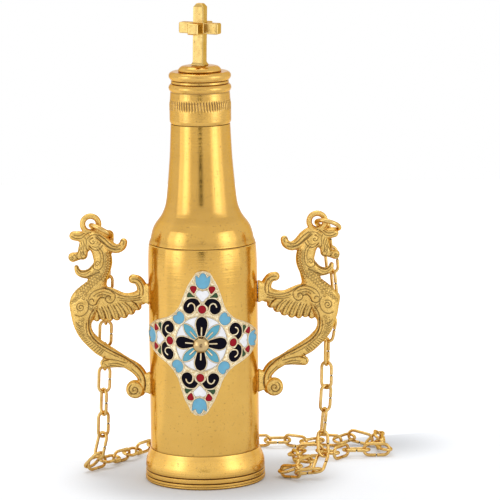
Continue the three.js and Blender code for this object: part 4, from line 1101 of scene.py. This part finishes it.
# Grooves cut in the pattern: depth, half width, then the points. First the crest, neck, face and beard.
GROOVES = (
    (0.24, 0.2, ((30.5, 86.2), (32.4, 85.9), (34.7, 86.7), (36.7, 88.5), (39.3, 90.7))),
    (0.22, 0.18, ((30.6, 87.6), (32.8, 87.1), (34.4, 88.2), (36.3, 90.2), (38.2, 91.6))),
    (0.18, 0.15, ((31.4, 86.8), (33.2, 86.4), (35.2, 87.5), (37.4, 89.6), (39.0, 91.1))),
    (0.20, 0.16, ((29.4, 87.7), (29.2, 88.8), (29.9, 89.4), (30.5, 88.8))),
    (0.20, 0.17, ((38.3, 86.9), (37.0, 85.2), (36.6, 82.7), (36.9, 80.4), (37.9, 78.9), (39.4, 78.6),
                  (40.4, 79.4), (40.3, 80.8))),
    (0.16, 0.14, ((39.0, 86.4), (37.9, 84.9), (37.5, 82.8), (37.7, 81.2))),
    (0.20, 0.17, ((36.9, 87.7), (38.0, 86.2), (39.6, 85.8), (41.0, 86.3), (41.8, 87.4))),
    (0.16, 0.14, ((37.6, 88.7), (38.4, 87.4), (39.6, 86.9), (40.7, 87.3))),
    (0.18, 0.15, ((38.2, 91.2), (39.6, 91.6), (41.2, 91.2), (42.4, 90.2))),
    (0.30, 0.24, ((40.5, 80.4), (42.0, 78.7), (44.2, 77.9), (45.7, 78.6), (46.1, 79.6))),
    (0.24, 0.18, ((38.2, 77.9), (40.5, 76.7), (43.3, 75.6), (45.2, 76.2))),
    (0.16, 0.14, ((41.5, 78.0), (43.5, 76.8), (45.3, 77.1), (46.5, 78.3))),
    (0.20, 0.15, ((43.3, 90.6), (42.7, 89.0), (43.0, 87.3), (42.6, 85.9), (41.6, 85.0))),
    (0.18, 0.14, ((44.0, 89.3), (43.6, 87.6), (44.0, 86.0), (43.8, 84.6), (42.9, 83.4))),
    (0.18, 0.14, ((44.8, 88.7), (44.4, 87.2), (44.9, 85.6), (45.0, 84.0), (44.3, 82.6))),
    (0.18, 0.14, ((45.5, 88.0), (45.2, 86.6), (45.8, 85.2), (46.3, 83.9), (46.0, 82.4))),
    (0.20, 0.16, ((42.8, 83.0), (44.6, 82.4), (46.2, 82.6), (46.9, 84.0))),
    (0.20, 0.16, ((41.3, 92.3), (43.1, 91.5), (44.6, 90.2), (46.6, 90.0), (48.2, 90.9))),
    (0.16, 0.14, ((43.6, 92.0), (45.4, 91.1), (47.2, 91.3))),
    # the wing: its curled tip, the long lines of its edge, the cloud scroll on the shoulder
    (0.24, 0.18, ((22.3, 69.2), (22.2, 71.4), (22.9, 73.6), (24.6, 75.0), (26.4, 75.1))),
    (0.20, 0.16, ((23.6, 68.9), (23.5, 71.0), (24.3, 73.1), (26.0, 73.9))),
    (0.22, 0.17, ((23.4, 69.3), (25.5, 68.6), (28.6, 68.6), (31.4, 69.5), (34.2, 71.2), (37.2, 72.2))),
    (0.18, 0.15, ((23.0, 68.3), (25.5, 67.8), (28.8, 67.7), (31.6, 68.4))),
    (0.16, 0.14, ((22.8, 67.4), (25.3, 67.0), (28.4, 66.9), (31.0, 67.3))),
    (0.26, 0.19, ((32.4, 69.2), (32.7, 67.4), (33.9, 66.3), (35.4, 66.5), (36.0, 67.8), (35.2, 68.9),
                  (34.2, 68.4), (34.5, 67.5))),
    (0.26, 0.19, ((36.0, 68.0), (37.4, 68.3), (38.6, 67.4), (39.4, 65.9), (41.0, 65.5), (42.0, 66.3),
                  (41.8, 67.6), (40.7, 67.9), (40.3, 67.0))),
    (0.24, 0.18, ((32.6, 69.6), (34.4, 71.0), (37.0, 71.6), (39.6, 71.0), (41.4, 69.6), (42.3, 67.8))),
    (0.18, 0.15, ((34.0, 69.7), (36.4, 70.4), (38.8, 70.0), (40.4, 68.9))),
    (0.16, 0.14, ((35.8, 69.4), (37.6, 69.4), (39.0, 68.7))),
    # feathers: one line between every two, one fine line down the middle of each
    (0.34, 0.20, ((23.7, 63.6), (24.6, 65.4), (26.2, 66.6))),
    (0.26, 0.17, ((25.8, 62.1), (27.0, 64.6), (28.9, 66.4))),
    (0.26, 0.17, ((28.2, 60.8), (29.4, 63.6), (31.3, 66.1))),
    (0.26, 0.17, ((30.8, 59.9), (31.8, 63.0), (33.3, 65.6))),
    (0.26, 0.17, ((33.4, 59.4), (34.1, 62.4), (35.4, 65.3))),
    (0.26, 0.17, ((35.9, 59.5), (36.4, 62.2), (37.5, 64.8))),
    (0.34, 0.20, ((38.2, 59.6), (38.5, 61.6), (39.2, 63.4))),
    (0.16, 0.13, ((27.2, 62.6), (28.4, 64.8), (30.1, 66.3))),
    (0.16, 0.13, ((29.8, 61.4), (30.8, 63.8), (32.3, 65.9))),
    (0.16, 0.13, ((32.3, 60.6), (33.1, 63.2), (34.3, 65.5))),
    (0.16, 0.13, ((34.8, 60.2), (35.4, 62.6), (36.5, 65.0))),
    (0.16, 0.13, ((37.2, 60.4), (37.6, 62.3), (38.4, 64.2))),
    # breast and belly: the open ring about the spiral, the line between body and wing
    (0.24, 0.18, ((42.9, 67.6), (42.2, 65.9), (42.4, 63.8), (43.6, 62.2), (45.4, 61.5), (47.2, 61.9))),
    (0.22, 0.17, ((40.2, 63.9), (41.2, 62.6), (41.9, 60.9), (42.2, 58.6))),
    # tail: the ridge along its inner side, a fine line beside it, the leaf and the last curl
    (0.28, 0.24, ((42.0, 59.6), (42.0, 56.6), (41.0, 54.0), (38.3, 51.2), (33.6, 48.3), (28.6, 45.6),
                  (24.6, 42.6), (22.3, 39.4), (21.7, 36.0), (22.0, 33.6))),
    (0.18, 0.15, ((43.0, 59.0), (43.1, 56.2), (42.0, 53.4), (39.2, 50.5), (35.2, 47.9), (31.3, 46.1))),
    (0.22, 0.17, ((28.6, 43.9), (32.4, 44.9), (35.6, 44.9), (37.2, 44.4), (37.4, 43.2))),
    (0.18, 0.15, ((29.5, 42.8), (32.5, 43.7), (35.2, 43.5))),
    (0.16, 0.14, ((30.5, 42.1), (33.2, 42.8), (35.6, 42.5))),
    (0.24, 0.18, ((36.4, 46.4), (37.0, 45.4), (37.9, 44.7))),
    (0.18, 0.15, ((23.3, 36.6), (24.0, 38.9), (26.6, 41.7))),
)
# Spirals: centre, outer radius, turns, start angle in degrees, depth, half width.
SPIRALS = (
    (40.5, 89.0, 1.35, 1.1, 90, 0.22, 0.15), (38.9, 80.7, 1.1, 1.3, 200, 0.20, 0.15),
    (44.1, 84.5, 0.7, 1.0, 90, 0.18, 0.14), (45.1, 64.8, 1.75, 1.7, 120, 0.24, 0.17),
    (25.7, 33.9, 2.15, 1.35, 60, 0.28, 0.2), (48.3, 83.0, 0.95, 1.2, 0, 0.18, 0.15),
)
# Rows of small beads or dots: first point, last point, sag to one side, count, height, half width.
BEAD_ROWS = (
    (34.7, 85.2, 36.6, 74.8, -1.1, 12, 0.22, 0.3), (35.7, 84.6, 37.7, 75.3, -1.0, 10, 0.2, 0.28),
    (38.6, 77.9, 45.6, 70.9, 0.2, 10, 0.22, 0.34), (38.0, 76.9, 44.6, 70.3, 0.2, 9, 0.22, 0.34),
    (37.7, 75.6, 43.4, 70.0, 0.2, 8, 0.2, 0.32), (39.9, 77.8, 46.9, 70.6, 0.2, 9, 0.18, 0.3),
    (46.2, 69.6, 48.4, 66.4, -0.2, 5, 0.2, 0.3), (44.8, 69.3, 47.2, 67.3, 0.0, 4, 0.2, 0.3),
    (43.2, 69.4, 44.0, 68.2, 0.0, 2, 0.2, 0.3),
    (44.3, 60.3, 44.3, 56.2, 0.3, 5, 0.18, 0.28), (45.6, 60.0, 45.6, 56.9, 0.3, 4, -0.24, 0.22),
    (43.9, 54.9, 37.6, 49.0, -0.4, 8, 0.16, 0.26), (32.8, 47.0, 25.8, 43.1, 0.0, 7, -0.16, 0.18),
    (24.0, 32.9, 27.2, 33.0, 0.9, 5, 0.18, 0.22), (34.2, 67.6, 38.4, 69.3, 0.5, 5, 0.16, 0.24),
    (26.2, 63.6, 28.4, 66.2, 0.1, 4, 0.14, 0.2), (28.8, 62.4, 30.8, 65.6, 0.1, 5, 0.14, 0.2),
    (31.4, 61.4, 33.0, 65.0, 0.1, 5, 0.14, 0.2), (34.0, 61.0, 35.2, 64.6, 0.1, 5, 0.14, 0.2),
    (36.5, 61.0, 37.4, 63.8, 0.1, 4, 0.14, 0.2), (40.4, 62.8, 42.0, 64.6, 0.2, 3, 0.2, 0.3),
    (39.4, 64.6, 41.4, 64.2, 0.2, 3, 0.18, 0.26), (36.4, 83.8, 36.9, 78.6, -0.4, 6, 0.12, 0.2),
)
# Short strokes across the outer side of the tail, between two lines of points.
HATCH_OUTER = ((47.0, 59.2), (46.4, 55.6), (44.3, 51.9), (41.2, 49.2), (38.2, 46.8))
HATCH_INNER = ((45.0, 57.6), (44.3, 54.6), (42.6, 52.6), (39.8, 50.4), (36.8, 48.4))
HATCH_COUNT = 17
HATCH_DEPTH = 0.2
HATCH_HALF = 0.14
# A spiral's radius shrinks by this share, and it has so many points a turn and so many more.
SPIRAL_SHRINK = 0.85
SPIRAL_STEPS = 24
SPIRAL_LEAST = 8
# A groove or bead reaches over so many of its half widths. The ring of painted shade about a bead: its
# radius and width in half widths, and its darkness. Feathers and scales fade where the casting turns away.
BELL_REACH = 4
BEAD_RING = (1.5, 0.5, 0.7)
FACING_GAIN = 1.6
# The casting's unevenness, as wave length and height: broad waves and sand grain. Then how much painted
# shade lies in the grooves and how much dirt in the grain.
CAST_WAVES = (2.0, 0.03)
CAST_GRAIN = (0.9, 0.025)
GROOVE_SHADE = 0.85
GRAIN_DIRT = 0.25


def oval_stroke(points):
    """An oval section carried along a smooth path in the plane of the handle; the two ends are drawn in
    to a point along a quarter round."""
    path = smooth_path(points, steps=6)
    heading = np.gradient(path[:, :2], axis=0)
    heading /= np.linalg.norm(heading, axis=1, keepdims=True)
    q = np.linspace(0, np.pi / 2, END_STEPS + 1)[1:, None]
    start, finish = (np.hstack([tip[:2] + way * tip[2] * np.sin(q), tip[2:] * np.cos(q)])
                     for tip, way in ((path[0], -heading[0]), (path[-1], heading[-1])))
    path = np.vstack([start[::-1], path, finish])
    heading = np.pad(heading, ((END_STEPS, END_STEPS), (0, 0)), mode="edge")
    t = np.linspace(0, 2 * np.pi, STROKE_SIDES, endpoint=False)
    wide = path[:, 2, None] * np.cos(t)
    x = path[:, 0, None] - heading[:, 1, None] * wide
    z = path[:, 1, None] + heading[:, 0, None] * wide
    return np.stack([x, path[:, 3, None] * np.sin(t), z], axis=-1)


def eyelet_ring(x, z, major, minor, steps=65, sides=24):
    """A ring of round section that lies in the plane of the handle."""
    u = np.linspace(0, 2 * np.pi, steps)[:, None]
    v = np.linspace(0, 2 * np.pi, sides, endpoint=False)[None, :]
    reach = major + minor * np.cos(v)
    depth = np.broadcast_to(minor * np.sin(v), (steps, sides))
    return np.stack([x + reach * np.cos(u), depth, z + reach * np.sin(u)], axis=-1)


def round_disc(x, z, radius, half, steps=12, sides=64):
    """A thick disc across the handle with a half round edge."""
    t = np.linspace(-np.pi / 2, np.pi / 2, steps)
    reach = np.concatenate([[0], radius - SCROLL_EDGE + SCROLL_EDGE * np.cos(t), [0]])[:, None]
    depth = np.concatenate([[-half], half * np.sin(t), [half]])
    a = np.linspace(0, 2 * np.pi, sides, endpoint=False)
    across = np.repeat(depth[:, None], sides, axis=1)
    return np.stack([x + reach * np.cos(a), across, z + reach * np.sin(a)], axis=-1)


def pad_flare(low, high, sides=64):
    """The pad between tube and casting: a block with softened corners, let into the round of the tube,
    that narrows in a hollow curve towards the casting."""
    rows = np.array(PAD_FLARE)
    section = square_ring(PAD_SQUARE, sides)
    y = PAD_HALF * rows[:, 2:] * section[:, 0]
    z = (low + high) / 2 + (high - low) / 2 * rows[:, 1:2] * section[:, 1]
    return np.stack([np.repeat(rows[:, :1], sides, axis=1), y, z], axis=-1)


def line_distance(points, line):
    """Distance of each point from a line of straight pieces, the least of its distances to the pieces."""
    best = np.full(len(points), 1e9)
    for a, b in zip(line[:-1], line[1:]):
        step = b - a
        share = np.clip((points - a) @ step / max(step @ step, 1e-12), 0, 1)
        offset = points - a - share[:, None] * step
        best = np.minimum(best, (offset * offset).sum(axis=1))
    return np.sqrt(best)


def relief_lines():
    """Every groove of the pattern as (depth, half width, line): the drawn ones, the spirals, whose radius
    shrinks evenly with the turn, and the hatching of the tail."""
    lines = [(depth, half, smooth_path(points, steps=6)) for depth, half, points in GROOVES]
    for x, z, radius, turns, start, depth, half in SPIRALS:
        t = np.linspace(0, 1, int(SPIRAL_STEPS * turns) + SPIRAL_LEAST)
        angle = math.radians(start) - 2 * np.pi * turns * t
        reach = radius * (1 - SPIRAL_SHRINK * t)
        lines.append((depth, half, np.stack([x + reach * np.cos(angle), z + reach * np.sin(angle)], axis=1)))
    outer = smooth_path(HATCH_OUTER, steps=12)
    inner = smooth_path(HATCH_INNER, steps=12)
    for k in np.linspace(0, len(outer) - 1, HATCH_COUNT).astype(int):
        lines.append((HATCH_DEPTH, HATCH_HALF, np.stack([outer[k], inner[k]])))
    return lines


def close_to(flat, line, half):
    """Numbers of the points that lie in the box about the line, widened by the reach of its relief."""
    low, high = line.min(axis=0) - BELL_REACH * half, line.max(axis=0) + BELL_REACH * half
    return np.flatnonzero(np.all((flat > low) & (flat < high), axis=1))


def relief(flat):
    """Height of the pattern's relief over each (x, z) point of the handle's plane, in millimetres, and
    the mask of its painted shade: grooves and beads are bell-shaped in section, grooves and sunk dots are
    shaded in full, and a ring of painted shade lies about a raised bead."""
    height = np.zeros(len(flat))
    shade_mask = np.zeros(len(flat))
    for depth, half, line in relief_lines():
        near = close_to(flat, line, half)
        bell = np.exp(-((line_distance(flat[near], line) / half) ** 2))
        height[near] -= depth * bell
        shade_mask[near] = np.maximum(shade_mask[near], bell)
    ring_out, ring_wide, ring_shade = BEAD_RING
    for ax, az, bx, bz, sag, count, rise, half in BEAD_ROWS:
        t = np.linspace(0, 1, count)[:, None]
        side = np.array([az - bz, bx - ax]) / math.hypot(bx - ax, bz - az)
        spots = np.array([ax, az]) * (1 - t) + np.array([bx, bz]) * t + side * sag * 4 * t * (1 - t)
        near = close_to(flat, spots, half)
        gap = np.sqrt(((flat[near, None, :] - spots[None]) ** 2).sum(axis=2)).min(axis=1) / half
        bell = np.exp(-(gap**2))
        height[near] += rise * bell
        ring = ring_shade * np.exp(-(((gap - ring_out) / ring_wide) ** 2))
        shade_mask[near] = np.maximum(shade_mask[near], ring if rise > 0 else bell)
    return height, shade_mask


def handle_parts():
    """All the skins that grow together into one handle."""
    strokes = [TRUNK, LEAF, NECK, CREST, BROW, MUZZLE, TONGUE, JAW, WING_TIP]
    root_x, root_z = WING_ROOT
    for x, z, wide in FEATHER_TIPS:
        strokes.append([(root_x + s * (x - root_x), root_z + s * (z - root_z), wide * swell, WING_HALF * deep)
                        for s, swell, deep in FEATHER_STATIONS])
    strokes.append([(x, z, wide, WING_HALF * BAND_DEEP) for x, z, wide in WING_BAND])
    return [*map(oval_stroke, strokes), eyelet_ring(*EYELET), round_disc(*SCROLL),
            *(pad_flare(low, high) for low, high in PADS)]


pattern_points, pattern_normals, pattern_mesh = grown_together(
    "griffin_pattern", handle_parts(), HANDLE_VOXEL, HANDLE_RELAX)
pattern_rise, pattern_shade = relief(pattern_points[:, [0, 2]])
facing = np.clip(np.abs(pattern_normals[:, 1]) * FACING_GAIN, 0, 1)
wave_length, wave_height = CAST_WAVES
grain_length, grain_height = CAST_GRAIN
pattern_grain = uneven(pattern_points, grain_length, seed=9)
pattern_waves = uneven(pattern_points, wave_length, seed=8)
pattern_raised = facing * pattern_rise + wave_height * pattern_waves + grain_height * pattern_grain
pattern_points += pattern_normals * pattern_raised[:, None]
# Painted shade in the grooves and about the beads, and dirt in the low spots of the grain.
pattern_shade_and_dirt = GROOVE_SHADE * pattern_shade * facing + GRAIN_DIRT * np.clip(-pattern_grain, 0, 1)


def griffin(name, side, node):
    """The pattern set against the tube: tilted and shifted a little, mirrored and lower on the left."""
    tilt = HANDLE_TILT * side
    drop = LEFT_DROP if side < 0 else 0
    x = pattern_points[:, 0] - TUBE_R
    z = pattern_points[:, 2] - TILT_HEIGHT
    placed = np.stack([
        TUBE_R + HANDLE_SHIFT * side + x * math.cos(tilt) + z * math.sin(tilt),
        pattern_points[:, 1],
        TILT_HEIGHT - drop - x * math.sin(tilt) + z * math.cos(tilt),
    ], axis=1)
    out = np.hypot(placed[:, 0], placed[:, 1])
    placed[:, :2] *= (np.maximum(out, TUBE_R + TUBE_GAP) / out)[:, None]
    placed[:, 0] *= side
    mesh = pattern_mesh.copy()
    mesh.name = name
    put_points(mesh, placed)
    keep_values(mesh, "hollow", np.clip(pattern_shade_and_dirt, 0, 1))
    finished(mesh, cast_brass, "bottle", [node], sharp=120.0)


cast_brass = brass("cast_brass", (0.81, 0.53, 0.16), (0.69, 0.425, 0.108), (0.07, 0.038, 0.018), gloss=0.22,
                   cloud_scale=500.0, specks=0.6, grain=(1900.0, 4.0, 0.75, 0.75, 0.0002))[0]
griffin("griffin_left_cast", -1, "griffin_left")
griffin("griffin_right_cast", 1, "griffin_right")

# Jump rings: thick round wire bent into a ring, sprung through the loop on each griffin's head; each ring
# leans over the head and carries one end of the chain.
RING_R = 4.3
RING_WIRE = 0.8
RING_SEAM = 0.03
RING_SEAM_DEPTH = 0.25
RING_STEPS = 160
RING_SIDES = 20
# Each ring: centre x and z, its long direction x and z, the droop of its far side and the place of its
# seam, both in degrees.
JUMP_RINGS = {"jump_ring_left": (-36.8, 92.42, 9, -5.0, 17, 200),
              "jump_ring_right": (45.9, 93.6, 10.5, -3, 26, 20)}


def jump_ring(name, cx, cz, ax, az, droop, seam_at):
    """A circle of round wire in the plane of the ring's long direction and its drooping one, nipped in
    where its ends meet."""
    e1 = Vector((ax, 0, az)).normalized()
    across = Vector((0, 1, 0)).cross(e1).normalized()
    down = across if across.z < 0 else -across
    back = math.radians(droop)
    e2 = math.cos(back) * Vector((0, 1, 0)) + math.sin(back) * down
    e3 = e1.cross(e2)
    u = np.linspace(0, 2 * np.pi, RING_STEPS, endpoint=False)
    v = np.linspace(0, 2 * np.pi, RING_SIDES, endpoint=False)
    from_seam = np.abs((u - math.radians(seam_at) + np.pi) % (2 * np.pi) - np.pi)
    seam = from_seam < RING_SEAM
    wire = RING_WIRE * (1 - RING_SEAM_DEPTH * seam)
    reach = RING_R + wire[:, None] * np.cos(v)
    rise = wire[:, None] * np.sin(v)
    basis = [np.array(e) for e in (e1, e2, e3)]
    grid = (np.array([cx, 0, cz]) + (reach * np.cos(u)[:, None])[..., None] * basis[0]
            + (reach * np.sin(u)[:, None])[..., None] * basis[1] + rise[..., None] * basis[2])
    mesh = mesh_from_grid(name + "_wire", grid[None] * MM, close_rows=True, close_columns=True)
    keep_values(mesh, "hollow", np.repeat(seam.astype(float), len(v)))
    finished(mesh, brass_wire, "bottle", [name], sharp=60.0)


for ring_name, ring_lie in JUMP_RINGS.items():
    jump_ring(ring_name, *ring_lie)
